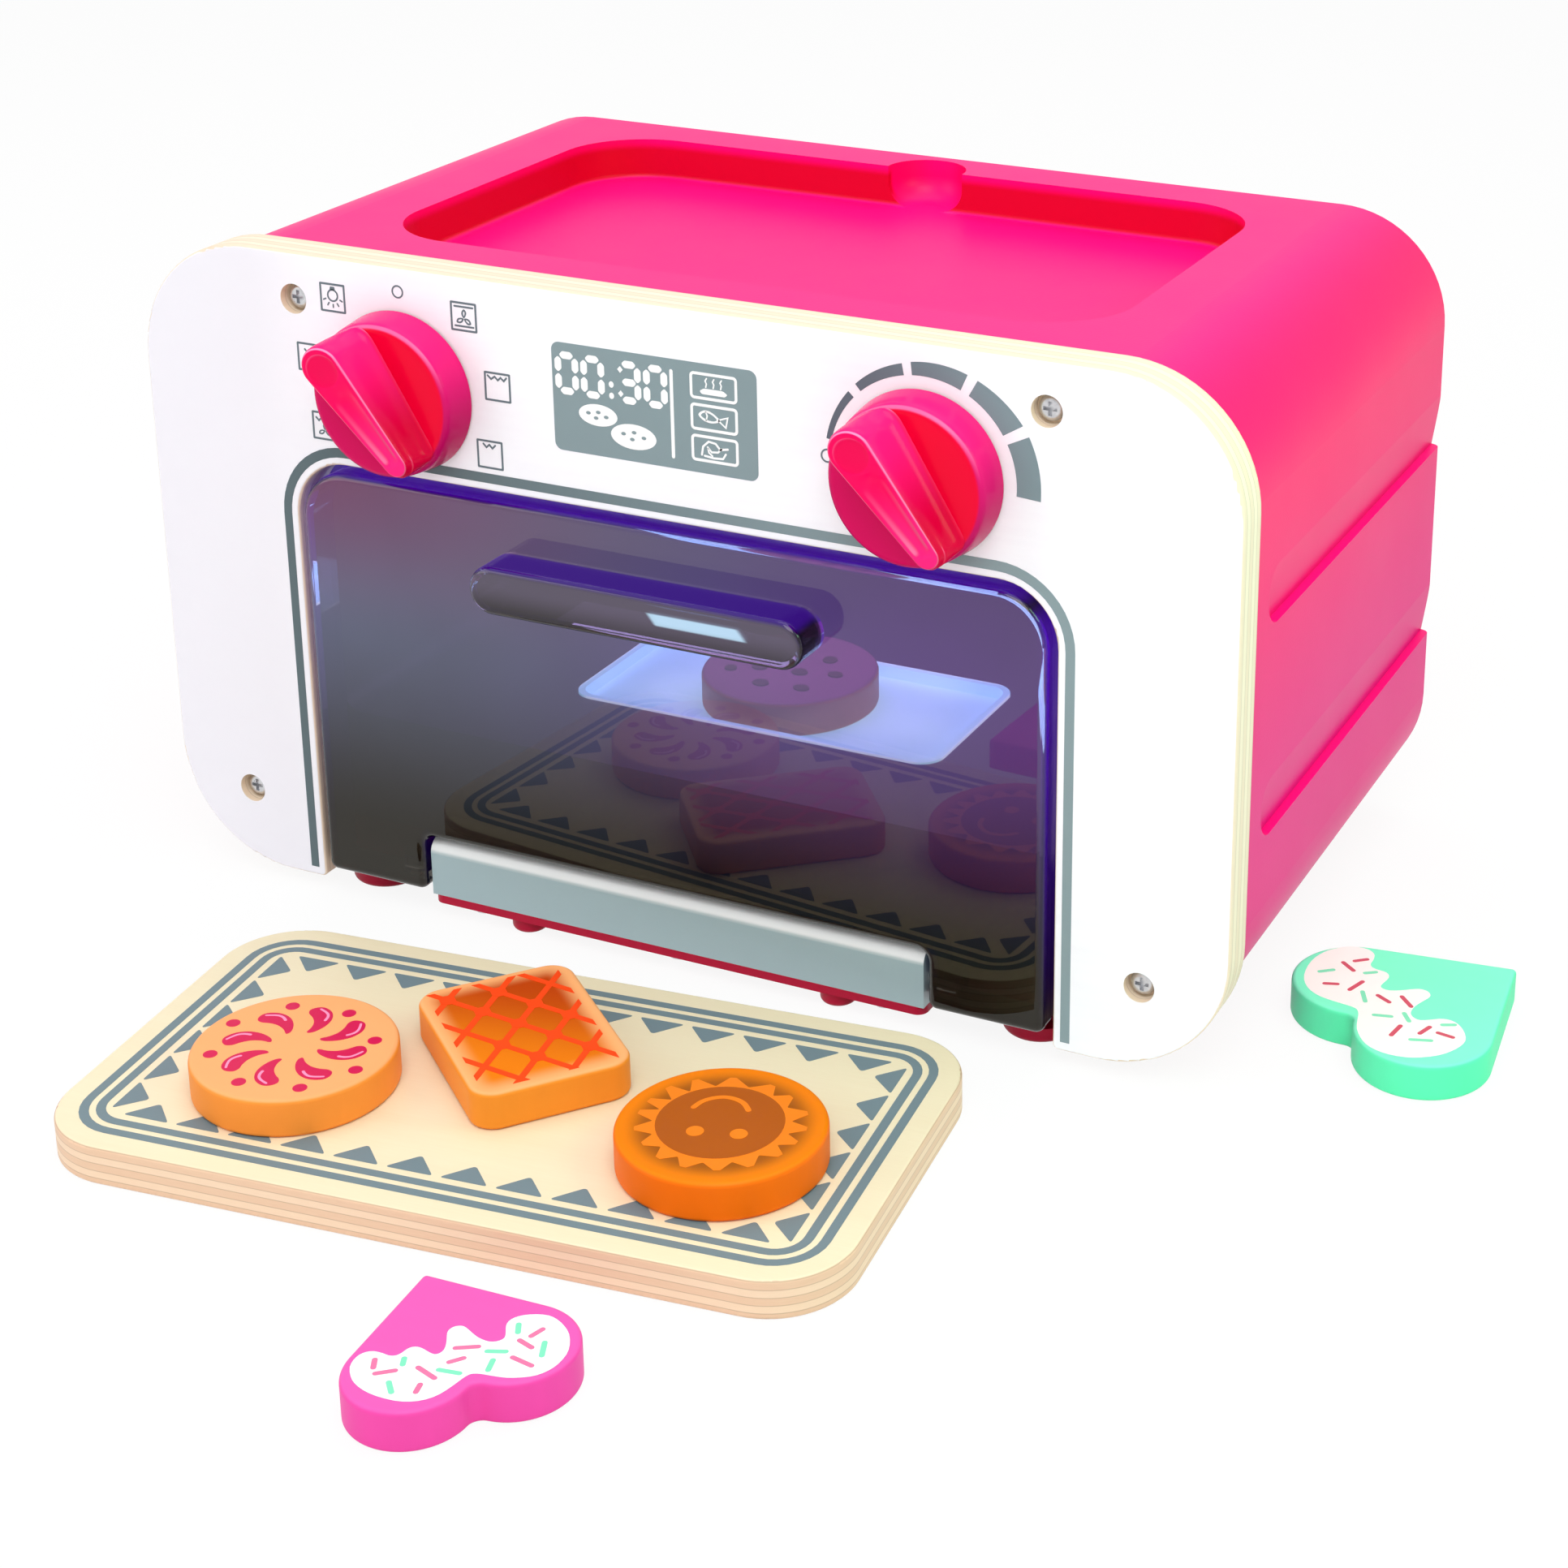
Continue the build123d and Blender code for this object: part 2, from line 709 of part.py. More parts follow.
def hinge_bar():
    bar = block((-bar_half_length, bar_half_length), (front_y, front_y + bar_depth), (base_top_z, bar_top_z))
    top_front = bar.edges().filter_by(Axis.X).group_by(Axis.Z)[-1].sort_by(Axis.Y)[0]
    bar = fillet(top_front, bar_edge_radius)
    inner = bar_half_length - bar_end_block
    bar -= block(
        (-inner, inner),
        (front_y + bar_wall, front_y + bar_depth),
        (base_top_z + bar_wall, bar_top_z - bar_wall),
    )
    screw_y = front_y + bar_depth / 2
    post_depths = (front_y + bar_wall / 2, front_y + bar_depth)
    for x in bar_screw_xs():
        x_range = (x - screw_boss_radius, x + screw_boss_radius)
        bar += block(x_range, post_depths, (base_top_z, bar_top_z - bar_wall))
        bar -= z_cylinder(screw_shank_radius, x, screw_y, base_top_z, bar_top_z - 2 * bar_wall)
    for side in (-1, 1):
        low_x, high_x = pin_span(side)
        bar -= x_cylinder(pin_radius, pin_y, pin_z, low_x, high_x)
    return bar


def pin_span(side):
    """The two ends of a hinge pin: half in the bar's end block, half in the door's leg."""
    inner = bar_half_length - bar_end_block + pin_bottom_wall
    ends = (side * inner, side * (inner + pin_length))
    return min(ends), max(ends)


def hinge_pins():
    pins = []
    for side in (-1, 1):
        low_x, high_x = pin_span(side)
        pins.append(x_cylinder(pin_radius, pin_y, pin_z, low_x, high_x))
    return Compound(children=pins)


# ---------------------------------------------------------------- cavity, lit window and its lamps
def window_plan(grow=0.0):
    """The plan of the lit window in the cavity floor."""
    window = RectangleRounded(
        2 * (window_half_width + grow), window_length + 2 * grow, window_corner_radius + grow
    )
    return Pos(0, window_mid_y) * window


def cavity_section(grow=0.0):
    section = RectangleRounded(
        2 * (cavity_half_width + grow), cavity_height + 2 * grow, cavity_corner_radius + grow
    )
    return Pos(0, (cavity_floor_z + cavity_top_z) / 2) * section


def liner_screw_places():
    """The screws through the mouth flange into the back of the front panel."""
    x = (opening_half_width + flange_half_width) / 2
    z_low = flange_bottom_z + liner_screw_margin
    z_high = flange_top_z - liner_screw_margin
    return [(side * x, z) for side in (-1, 1) for z in (z_low, z_high)]


def cavity_liner():
    flange_height = flange_top_z - flange_bottom_z
    flange = Pos(0, flange_bottom_z + flange_height / 2)
    flange = flange * RectangleRounded(2 * flange_half_width, flange_height, flange_corner_radius)
    liner = through(flange, panel_back_y, panel_back_y + liner_wall)
    liner += through(cavity_section(liner_wall), panel_back_y, cavity_back_y + liner_wall)
    liner -= through(cavity_section(), panel_back_y, cavity_back_y)
    liner -= upward(window_plan(), cavity_floor_z - liner_wall, cavity_floor_z)
    for x, z in liner_screw_places():
        radius = screw_shank_radius + screw_clearance
        liner -= y_cylinder(radius, x, z, panel_back_y, panel_back_y + liner_wall)
    for x, y in board_screw_places():
        liner += z_cylinder(board_boss_radius, x, y, board_top_z, cavity_floor_z - liner_wall / 2)
        liner -= z_cylinder(screw_shank_radius, x, y, board_top_z, cavity_floor_z - liner_wall)
    return liner


def uv_window():
    """A frosted dish let into the cavity floor, held from below by its flange."""
    rim_z = cavity_floor_z + window_rim_rise
    flange_top = cavity_floor_z - liner_wall
    plate_bottom_z = window_floor_z - window_plate
    dish = upward(window_plan(-window_clearance), plate_bottom_z, rim_z)
    dish += upward(window_plan(window_flange), plate_bottom_z, flange_top)
    return dish - upward(window_plan(-window_clearance - window_wall), window_floor_z, rim_z)


def board_screw_places():
    return [
        (side_x * board_screw_x, window_mid_y + side_y * board_screw_y)
        for side_x in (-1, 1)
        for side_y in (-1, 1)
    ]


def led_board():
    plan = Pos(0, window_mid_y) * Rectangle(2 * board_half_width, window_length)
    board = upward(plan, board_top_z - board_thickness, board_top_z)
    for x, y in board_screw_places():
        radius = screw_shank_radius + screw_clearance
        board -= z_cylinder(radius, x, y, board_top_z - board_thickness, board_top_z)
    return board


def uv_lamps():
    """Domed lamps in two rows of three on the board."""
    lamps = []
    for column in (-1, 0, 1):
        for row in (-1, 1):
            lamp = z_cylinder(led_radius, 0, 0, 0, led_height)
            lamp = fillet(lamp.edges().group_by(Axis.Z)[-1], led_radius * 0.9)
            lamps.append(Pos(column * lamp_step_x, window_mid_y + row * lamp_step_y, board_top_z) * lamp)
    return Compound(children=lamps)


# ---------------------------------------------------------------- knobs and their controls
def ridge_plan(grow=0.0):
    """The plan of the pointer on a knob: a long drop, its head on +X."""
    head = Pos(ridge_head_offset, 0) * Circle(ridge_head_radius + grow)
    tail = Pos(-ridge_tail_offset, 0) * Circle(ridge_tail_radius + grow)
    return make_hull(head.edges() + tail.edges())


def dish_cutter():
    """A long round-ended cone lying in the pointer's top, which leaves a shallow drop-shaped dish."""
    run = ridge_head_offset + ridge_tail_offset
    slope = math.atan2(ridge_head_height - ridge_tail_height, run)
    tail_depth = dish_depth / 2
    head_radius = (dish_head_half_width**2 + dish_depth**2) / (2 * dish_depth)
    tail_radius = (dish_tail_half_width**2 + tail_depth**2) / (2 * tail_depth)
    along = run / math.cos(slope)
    rise = (head_radius - dish_depth) - (tail_radius - tail_depth)
    span = math.hypot(along, rise)
    lean = math.asin((head_radius - tail_radius) / span)
    tail_touch = Vector(-tail_radius * math.sin(lean), tail_radius * math.cos(lean))
    head_touch = Vector(span - head_radius * math.sin(lean), head_radius * math.cos(lean))
    middle = (math.pi / 2 - lean) / 2
    tail_mid = Vector(-tail_radius * math.cos(middle), tail_radius * math.sin(middle))
    middle = (math.pi / 2 + lean) / 2
    head_mid = Vector(span + head_radius * math.cos(middle), head_radius * math.sin(middle))
    outline = ThreePointArc((-tail_radius, 0), tail_mid, tail_touch)
    outline += Line(tail_touch, head_touch)
    outline += ThreePointArc(head_touch, head_mid, (span + head_radius, 0))
    outline += Line((span + head_radius, 0), (-tail_radius, 0))
    drop = revolve(make_face(outline), Axis.X)
    tilt = slope + math.atan2(rise, along)
    lift = tail_radius - tail_depth
    place = Pos(-ridge_tail_offset - lift * math.sin(slope), 0, ridge_tail_height + lift * math.cos(slope))
    return place * Rot(0, -math.degrees(tilt), 0) * drop


def knob():
    """A knob along its own Z, its back at 0 and its pointer toward its own +X."""
    disc = Solid.make_cone(knob_radius, knob_front_radius, knob_thickness)
    disc = Part() + disc
    disc = fillet(disc.edges().group_by(Axis.Z)[-1], knob_edge_radius)
    room = Pos(0, 0, (knob_thickness - knob_wall) / 2)
    disc -= room * Cylinder(knob_front_radius - knob_wall, knob_thickness - knob_wall)
    hub = z_cylinder(shaft_radius + knob_wall, 0, 0, 0, knob_thickness - knob_wall / 2)
    disc += hub
    skirt = upward(ridge_plan(ridge_skirt), knob_thickness - knob_wall / 2, knob_thickness + ridge_skirt)
    skirt = chamfer(skirt.edges().group_by(Axis.Z)[-1], ridge_skirt * 0.9)
    rim = z_cylinder(knob_front_radius - knob_edge_radius / 2, 0, 0, 0, ridge_head_height)
    ridge = upward(ridge_plan(), knob_thickness - knob_wall / 2, ridge_head_height + 1)
    run = ridge_head_offset + ridge_tail_offset
    slope = math.degrees(math.atan2(ridge_head_height - ridge_tail_height, run))
    top = Plane(origin=(-ridge_tail_offset, 0, ridge_tail_height)) * Rot(0, -slope, 0)
    ridge -= top * Pos(0, 0, run) * Box(4 * run, 4 * run, 2 * run)
    ridge = fillet(ridge.faces().sort_by(Axis.Z)[-1].edges(), ridge_edge_radius)
    made = disc + (skirt & rim) + (ridge - dish_cutter())
    made -= z_cylinder(shaft_radius, 0, 0, 0, knob_thickness - knob_wall)
    return made


def knob_place(side):
    x, z = knob_places[side]
    angle = math.radians(knob_pointer_angle)
    plane = Plane(
        origin=(x, front_y - knob_panel_gap, z),
        x_dir=(math.cos(angle), 0, math.sin(angle)),
        z_dir=(0, -1, 0),
    )
    return plane.location


def control_shaft(side, depth):
    """The shaft from the knob's hub through the panel into the control behind it."""
    x, z = knob_places[side]
    near_y = front_y - knob_panel_gap - knob_thickness + knob_wall
    return y_cylinder(shaft_radius, x, z, near_y, panel_back_y + depth - shaft_end_gap - control_wall)


def control_ear_places(side, body_half):
    x, z = knob_places[side]
    return [(x + way * (body_half + control_ear_length / 2), z) for way in (-1, 1)]


def control_screw_places():
    return control_ear_places("left", switch_side / 2) + control_ear_places("right", timer_radius)


def control_body(side, section, depth, body_half):
    """A control screwed to the back of the panel, its bushing reaching into the panel's bore."""
    x, z = knob_places[side]
    body = through(Pos(x, z) * section, panel_back_y, panel_back_y + depth)
    ears = Rectangle(2 * (body_half + control_ear_length), control_ear_width)
    body += through(Pos(x, z) * ears, panel_back_y, panel_back_y + control_ear_thickness)
    body += y_cylinder(bushing_radius, x, z, front_y + bushing_front_gap, panel_back_y)
    body -= y_cylinder(
        shaft_radius + shaft_running_clearance, x, z, front_y, panel_back_y + depth - control_wall
    )
    for ear_x, ear_z in control_ear_places(side, body_half):
        radius = screw_shank_radius + screw_clearance
        body -= y_cylinder(radius, ear_x, ear_z, panel_back_y, panel_back_y + control_ear_thickness)
    return body


def selector_switch():
    section = RectangleRounded(switch_side, switch_side, switch_corner_radius)
    return control_body("left", section, switch_depth, switch_side / 2)


def timer_unit():
    return control_body("right", Circle(timer_radius), timer_depth, timer_radius)


# ---------------------------------------------------------------- fasteners
def panel_screws():
    seat_y = front_y + counterbore_depth
    length = panel_back_y - seat_y + panel_boss_length - housing_wall - screw_tip_gap
    return Compound(children=[toward_front(x, seat_y, z) * screw(length) for x, z in panel_screw_places])


def base_screws():
    length = base_thickness + base_boss_height - housing_wall - screw_tip_gap
    places = [(side * base_screw_x, y) for side in (-1, 1) for y in base_screw_ys]
    places += [(x, front_y + bar_depth / 2) for x in bar_screw_xs()]
    return Compound(children=[downward(x, y, foot_height) * screw(length) for x, y in places])


def cover_screw():
    length = cover_thickness + cover_post_height - bay_roof - screw_tip_gap
    return downward(0, cover_screw_y, foot_height) * screw(length)


def liner_screws():
    seat_y = panel_back_y + liner_wall
    length = liner_wall + panel_thickness / 2
    return Compound(children=[toward_back(x, seat_y, z) * screw(length) for x, z in liner_screw_places()])


def board_screws():
    seat_z = board_top_z - board_thickness
    length = board_thickness + board_drop - screw_tip_gap
    return Compound(children=[downward(x, y, seat_z) * screw(length) for x, y in board_screw_places()])


def control_screws():
    seat_y = panel_back_y + control_ear_thickness
    length = control_ear_thickness + panel_thickness / 2
    return Compound(children=[toward_back(x, seat_y, z) * screw(length) for x, z in control_screw_places()])


# ---------------------------------------------------------------- tray and biscuits
def softened(sketch, z_low, thickness, edge_radius):
    """A flat wooden piece with its top and bottom edges eased."""
    piece = upward(sketch, z_low, z_low + thickness)
    rims = piece.edges().group_by(Axis.Z)
    return fillet(rims[0] + rims[-1], edge_radius)


def tray_place():
    return Pos(tray_centre_x, front_y - tray_front_gap) * Rot(0, 0, tray_turn)


def tray():
    plan = tray_place() * RectangleRounded(tray_length, tray_width, tray_corner_radius)
    return softened(plan, 0, tray_thickness, tray_edge_radius)


def heart_plan(width):
    """A heart of the given width, its apex toward its own -Y and its notch toward +Y."""
    lobe_radius = width * 0.279
    lobe_offset = width / 2 - lobe_radius
    apex_drop = width * 0.625
    lobes = Pos(lobe_offset, 0) * Circle(lobe_radius) + Pos(-lobe_offset, 0) * Circle(lobe_radius)
    span = math.hypot(lobe_offset, apex_drop)
    turn = math.asin(lobe_radius / span) + math.atan2(lobe_offset, apex_drop)
    reach = math.sqrt(span**2 - lobe_radius**2)
    touch_x = reach * math.sin(turn)
    touch_y = reach * math.cos(turn) - apex_drop
    body = make_face(Polyline((0, -apex_drop), (touch_x, touch_y), (0, 0), (-touch_x, touch_y), close=True))
    dip = math.sqrt(lobe_radius**2 - lobe_offset**2)
    plan = lobes + body
    plan += Polygon((0, dip - 0.5), (-lobe_offset, 0), (0, -lobe_offset), (lobe_offset, 0), align=None)
    plan = rounded_at(plan, [(0, -apex_drop)], heart_apex_radius)
    return rounded_at(plan, [(0, dip)], heart_notch_radius)


def biscuit(sketch, z_low):
    return softened(sketch, z_low, biscuit_thickness, biscuit_edge_radius)


def heart(width, x, gap, turn):
    place = Pos(x, front_y - gap) * Rot(0, 0, turn)
    return biscuit(place * heart_plan(width), 0)


def round_biscuit(x, y, z_low):
    return biscuit(Pos(x, y) * Circle(biscuit_radius), z_low)


def waffle_biscuit():
    place = Pos(waffle_biscuit_x, front_y - waffle_biscuit_gap) * Rot(0, 0, waffle_turn)
    plan = RectangleRounded(waffle_length, waffle_width, waffle_corner_radius)
    return biscuit(place * plan, tray_thickness)


# ---------------------------------------------------------------- assembly
nodes = {
    "front_panel": front_panel(),
    "housing": housing(),
    "base_plate": base_plate(),
    "feet_large": feet(foot_places_large, large_foot_radius),
    "feet_small": feet(foot_places_small, small_foot_radius),
    "battery_cover": battery_cover(),
    "batteries": batteries(),
    "battery_contacts": battery_contacts(),
    "cavity_liner": cavity_liner(),
    "uv_window": uv_window(),
    "led_board": led_board(),
    "uv_lamps": uv_lamps(),
    "hinge_bar": hinge_bar(),
    "hinge_pins": hinge_pins(),
    "door": door(),
    "selector_switch": selector_switch(),
    "timer_unit": timer_unit(),
    "left_shaft": control_shaft("left", switch_depth),
    "right_shaft": control_shaft("right", timer_depth),
    "left_knob": knob_place("left") * knob(),
    "right_knob": knob_place("right") * knob(),
    "panel_screws": panel_screws(),
    "base_screws": base_screws(),
    "cover_screw": cover_screw(),
    "liner_screws": liner_screws(),
    "board_screws": board_screws(),
    "control_screws": control_screws(),
    "tray": tray(),
    "jam_biscuit": round_biscuit(jam_biscuit_x, front_y - jam_biscuit_gap, tray_thickness),
    "sun_biscuit": round_biscuit(sun_biscuit_x, front_y - sun_biscuit_gap, tray_thickness),
    "waffle_biscuit": waffle_biscuit(),
    "chip_biscuit": round_biscuit(chip_biscuit_x, window_mid_y + chip_biscuit_shift, window_floor_z),
    "pink_heart": heart(pink_heart_width, pink_heart_x, pink_heart_gap, pink_heart_turn),
    "mint_heart": heart(mint_heart_width, mint_heart_x, mint_heart_gap, mint_heart_turn),
}

os.makedirs("parts", exist_ok=True)
for name, shape in nodes.items():
    export_step(shape, f"parts/{name}.step")
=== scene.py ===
"""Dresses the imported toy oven: finishes for its solids, printed marks, biscuits' icing, stage and camera."""

import math

import bmesh
import bpy
from mathutils import Matrix, Vector


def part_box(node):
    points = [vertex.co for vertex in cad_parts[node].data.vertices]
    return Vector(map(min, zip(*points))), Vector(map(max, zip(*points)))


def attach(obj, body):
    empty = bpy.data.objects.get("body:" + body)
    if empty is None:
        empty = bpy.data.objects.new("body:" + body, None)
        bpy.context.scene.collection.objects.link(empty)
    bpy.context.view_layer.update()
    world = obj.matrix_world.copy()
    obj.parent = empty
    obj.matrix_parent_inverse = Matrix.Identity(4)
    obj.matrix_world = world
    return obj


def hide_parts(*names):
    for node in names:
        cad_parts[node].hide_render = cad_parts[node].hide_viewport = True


bl_info = {
    "name": "Toy oven dresser",
    "version": (1, 0, 0),
    "blender": (4, 5, 0),
    "location": "View3D > Sidebar > Toy oven",
    "description": "Finishes, prints and staging for a toy oven with its tray and biscuits",
    "category": "Object",
}

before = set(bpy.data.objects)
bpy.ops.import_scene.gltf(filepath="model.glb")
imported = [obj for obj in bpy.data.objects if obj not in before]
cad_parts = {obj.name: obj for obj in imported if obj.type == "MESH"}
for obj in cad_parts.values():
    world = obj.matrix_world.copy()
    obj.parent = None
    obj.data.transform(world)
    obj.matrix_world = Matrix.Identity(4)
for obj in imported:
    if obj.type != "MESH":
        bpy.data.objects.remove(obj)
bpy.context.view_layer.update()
MM = 0.001

PANEL_LOW, PANEL_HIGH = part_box("front_panel")
WINDOW_LOW, WINDOW_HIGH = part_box("uv_window")
DOOR_LOW, DOOR_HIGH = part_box("door")
HOUSING_TOP_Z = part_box("housing")[1].z
TRAY_TOP_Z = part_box("tray")[1].z
FRONT_Y = PANEL_LOW.y


def node_middle(node):
    """The middle of a CAD solid's box."""
    low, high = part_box(node)
    return (low + high) / 2


# ------------------------------------------------ shader sums
class Signal:
    """A shader socket that can be used in sums like a number."""

    def __init__(self, paint, socket):
        self.paint = paint
        self.socket = socket

    def _sum(self, operation, *others):
        return self.paint.node("ShaderNodeMath", {"operation": operation}, self, *others).out()

    def __add__(self, other):
        return self._sum("ADD", other)

    def __sub__(self, other):
        return self._sum("SUBTRACT", other)

    def __mul__(self, other):
        return self._sum("MULTIPLY", other)

    def __truediv__(self, other):
        return self._sum("DIVIDE", other)

    def __rsub__(self, other):
        return self.paint.node("ShaderNodeMath", {"operation": "SUBTRACT"}, other, self).out()

    def __rtruediv__(self, other):
        return self.paint.node("ShaderNodeMath", {"operation": "DIVIDE"}, other, self).out()

    __radd__ = __add__
    __rmul__ = __mul__

    def most(self, other):
        return self._sum("MAXIMUM", other)

    def size(self):
        return self._sum("ABSOLUTE")

    def fraction(self):
        return self._sum("FRACT")

    def sine(self):
        return self._sum("SINE")

    def root(self):
        return self._sum("SQRT")

    def between(self, low, high):
        """0 below low and 1 above high, with a smooth step between them; low may be above high."""
        node = self.paint.node("ShaderNodeMapRange", {"interpolation_type": "SMOOTHSTEP"}, self, low, high)
        return node.out()


class PaintNode:
    """One shader node and its sockets."""

    def __init__(self, paint, node):
        self.paint = paint
        self.node = node

    def out(self, name=0):
        return Signal(self.paint, self.node.outputs[name])


class ShaderTree:
    """The shader nodes of a material or of the world, each added and linked in one call."""

    def __init__(self, tree):
        self.tree = tree

    def put(self, socket, value):
        """Give a socket a constant or link a signal to it; a colour gets its alpha here."""
        if isinstance(value, Signal):
            self.tree.links.new(value.socket, socket)
        elif socket.type == "RGBA":
            socket.default_value = (*value, 1.0)
        else:
            socket.default_value = value

    def node(self, kind, settings, *values, **named):
        """Add a node: its settings first, then values or links for its sockets by place or name."""
        node = self.tree.nodes.new(kind)
        for setting, value in settings.items():
            setattr(node, setting, value)
        for key, value in [*enumerate(values), *named.items()]:
            self.put(node.inputs[key.replace("_", " ") if isinstance(key, str) else key], value)
        return PaintNode(self, node)

    def seen(self):
        """1 where the camera, a glossy reflection or a view through glass looks at the surface."""
        path = self.node("ShaderNodeLightPath", {})
        gloss = path.out("Is Camera Ray").most(path.out("Is Glossy Ray"))
        return gloss.most(path.out("Is Transmission Ray"))

    def end_between(self, output, share, plain, bright):
        """End the tree with a share of the bright shader laid over the plain one."""
        blend = self.node("ShaderNodeMixShader", {}, share, plain, bright).out()
        self.put(self.tree.nodes[output].inputs[0], blend)


class Paint(ShaderTree):
    """A material under construction round one Principled shader."""

    def __init__(self, name, **constants):
        self.material = bpy.data.materials.new(name)
        self.material.use_nodes = True
        super().__init__(self.material.node_tree)
        self.shader = self.tree.nodes["Principled BSDF"]
        for socket, value in constants.items():
            self.set(socket.replace("_", " "), value)

    def set(self, socket, value):
        self.put(self.shader.inputs[socket], value)

    def place(self, at=(0, 0, 0), turn=(0, 0, 0), scale=(1, 1, 1)):
        """Object coordinates in metres, centred on a point and turned."""
        source = self.node("ShaderNodeTexCoord", {}).out("Object")
        moved = self.node("ShaderNodeVectorMath", {"operation": "SUBTRACT"}, source, tuple(at)).out()
        return self.node("ShaderNodeMapping", {}, moved, Rotation=turn, Scale=scale).out()

    def axes(self, vector):
        split = self.node("ShaderNodeSeparateXYZ", {}, vector)
        return split.out("X"), split.out("Y"), split.out("Z")

    def joined(self, x, y, z):
        return self.node("ShaderNodeCombineXYZ", {}, x, y, z).out()

    def facing(self):
        """The three parts of the surface direction, on the object's own axes."""
        return self.axes(self.node("ShaderNodeTexCoord", {}).out("Normal"))

    def noise(self, vector, scale, detail=2.0, roughness=0.5, distortion=0.0):
        sockets = {"Scale": scale, "Detail": detail, "Roughness": roughness, "Distortion": distortion}
        return self.node("ShaderNodeTexNoise", {}, Vector=vector, **sockets).out("Fac")

    def mix(self, factor, low, high):
        """A colour between low and high."""
        made = self.node("ShaderNodeMix", {"data_type": "RGBA"})
        for place, value in ((0, factor), (6, low), (7, high)):
            self.put(made.node.inputs[place], value)
        return made.out(2)

    def clouded(self, cloud, colour, darkest):
        """A colour that sinks to a share of itself where the cloud is thin."""
        return self.mix(cloud, darkened(colour, darkest), colour)

    def bump(self, height, distance, strength):
        node = self.node("ShaderNodeBump", {}, Strength=strength, Distance=distance, Height=height)
        self.set("Normal", node.out("Normal"))


def darkened(colour, share):
    return tuple(part * share for part in colour)


def linear(red, green, blue):
    """A colour given in display values from 0 to 255, as the shader wants it."""
    parts = []
    for part in (red, green, blue):
        part = part / 255
        parts.append(part / 12.92 if part <= 0.04045 else ((part + 0.055) / 1.055) ** 2.4)
    return tuple(parts)


def clear_selection():
    if bpy.context.object and bpy.context.object.mode != "OBJECT":
        bpy.ops.object.mode_set(mode="OBJECT")
    bpy.ops.object.select_all(action="DESELECT")


# ------------------------------------------------ outlines for printed marks, in millimetres
def turned(points, angle, centre=(0.0, 0.0), scale=1.0):
    """Points scaled and turned about the drawing's zero, then moved to a centre."""
    cosine, sine = math.cos(angle) * scale, math.sin(angle) * scale
    return [(centre[0] + x * cosine - y * sine, centre[1] + x * sine + y * cosine) for x, y in points]


def arc(centre, radius, start, end, count=12):
    """Points along an arc, its angles in degrees; radius may be a pair that changes along it."""
    first, last = radius if isinstance(radius, tuple) else (radius, radius)
    made = []
    for step in range(count + 1):
        share = step / count
        angle = math.radians(start + (end - start) * share)
        reach = first + (last - first) * share
        made.append((centre[0] + reach * math.cos(angle), centre[1] + reach * math.sin(angle)))
    return made


def disc(centre, radius, count=24, stretch=1.0):
    """A filled circle, or an ellipse when it is stretched along x."""
    ring = arc((0, 0), radius, 0, 360 - 360 / count, count - 1)
    return [(centre[0] + x * stretch, centre[1] + y) for x, y in ring]


def rounded(points, radius, count=4):
    """A polygon with its corners rounded by short curves."""
    made = []
    for index, corner in enumerate(points):
        before = Vector(points[index - 1]) - Vector(corner)
        after = Vector(points[(index + 1) % len(points)]) - Vector(corner)
        reach = min(radius, before.length / 2, after.length / 2)
        start = Vector(corner) + before.normalized() * reach
        end = Vector(corner) + after.normalized() * reach
        for step in range(count + 1):
            share = step / count
            spot = start * (1 - share) ** 2 + Vector(corner) * 2 * share * (1 - share) + end * share**2
            made.append((spot.x, spot.y))
    return made


def rounded_box(half_width, half_height, radius, centre=(0.0, 0.0), count=8):
    """A rectangle with round corners."""
    made = []
    for side_x, side_y, start in ((1, 1, 0), (-1, 1, 90), (-1, -1, 180), (1, -1, 270)):
        middle = (centre[0] + side_x * (half_width - radius), centre[1] + side_y * (half_height - radius))
        made += arc(middle, radius, start, start + 90, count)
    return made


def smooth_loop(points, count=5):
    """A closed curve that runs smoothly through the points."""
    made = []
    total = len(points)
    for index in range(total):
        before, here, after, beyond = (Vector(points[(index + shift) % total]) for shift in (-1, 0, 1, 2))
        for step in range(count):
            share = step / count
            bend = (2 * here, after - before, 2 * before - 5 * here + 4 * after - beyond)
            bend = (*bend, 3 * here - before - 3 * after + beyond)
            spot = sum((part * share**power for power, part in enumerate(bend)), Vector((0, 0))) / 2
            made.append((spot.x, spot.y))
    return made


def smooth_path(points, count=4):
    """An open curve that runs smoothly through the points."""
    looped = smooth_loop([*points, *reversed(points[1:-1])], count)
    return looped[: count * (len(points) - 1) + 1]


def stroke(points, width, tip=1.0):
    """An open line of a given width with round ends; its far end may be thinner by the factor tip."""
    left = []
    right = []
    total = len(points)
    for index, here in enumerate(points):
        before = Vector(points[max(index - 1, 0)])
        after = Vector(points[min(index + 1, total - 1)])
        along = (after - before).normalized()
        across = Vector((-along.y, along.x))
        reach = width / 2 * (1 + (tip - 1) * index / (total - 1))
        if 0 < index < total - 1:
            leg = (Vector(here) - before).normalized()
            reach /= max(0.6, abs(leg.dot(along)))
        left.append(Vector(here) + across * reach)
        right.append(Vector(here) - across * reach)
    made = [(spot.x, spot.y) for spot in left]
    made += end_cap(points[-1], left[-1], right[-1])
    made += [(spot.x, spot.y) for spot in reversed(right)]
    return made + end_cap(points[0], right[0], left[0])


def end_cap(centre, start, end):
    """Points of a half circle between the two sides of a line's end."""
    centre = Vector(centre)
    radius = (start - end).length / 2
    angle = math.degrees(math.atan2(start.y - centre.y, start.x - centre.x))
    return arc(centre, radius, angle - 30, angle - 150, 4)


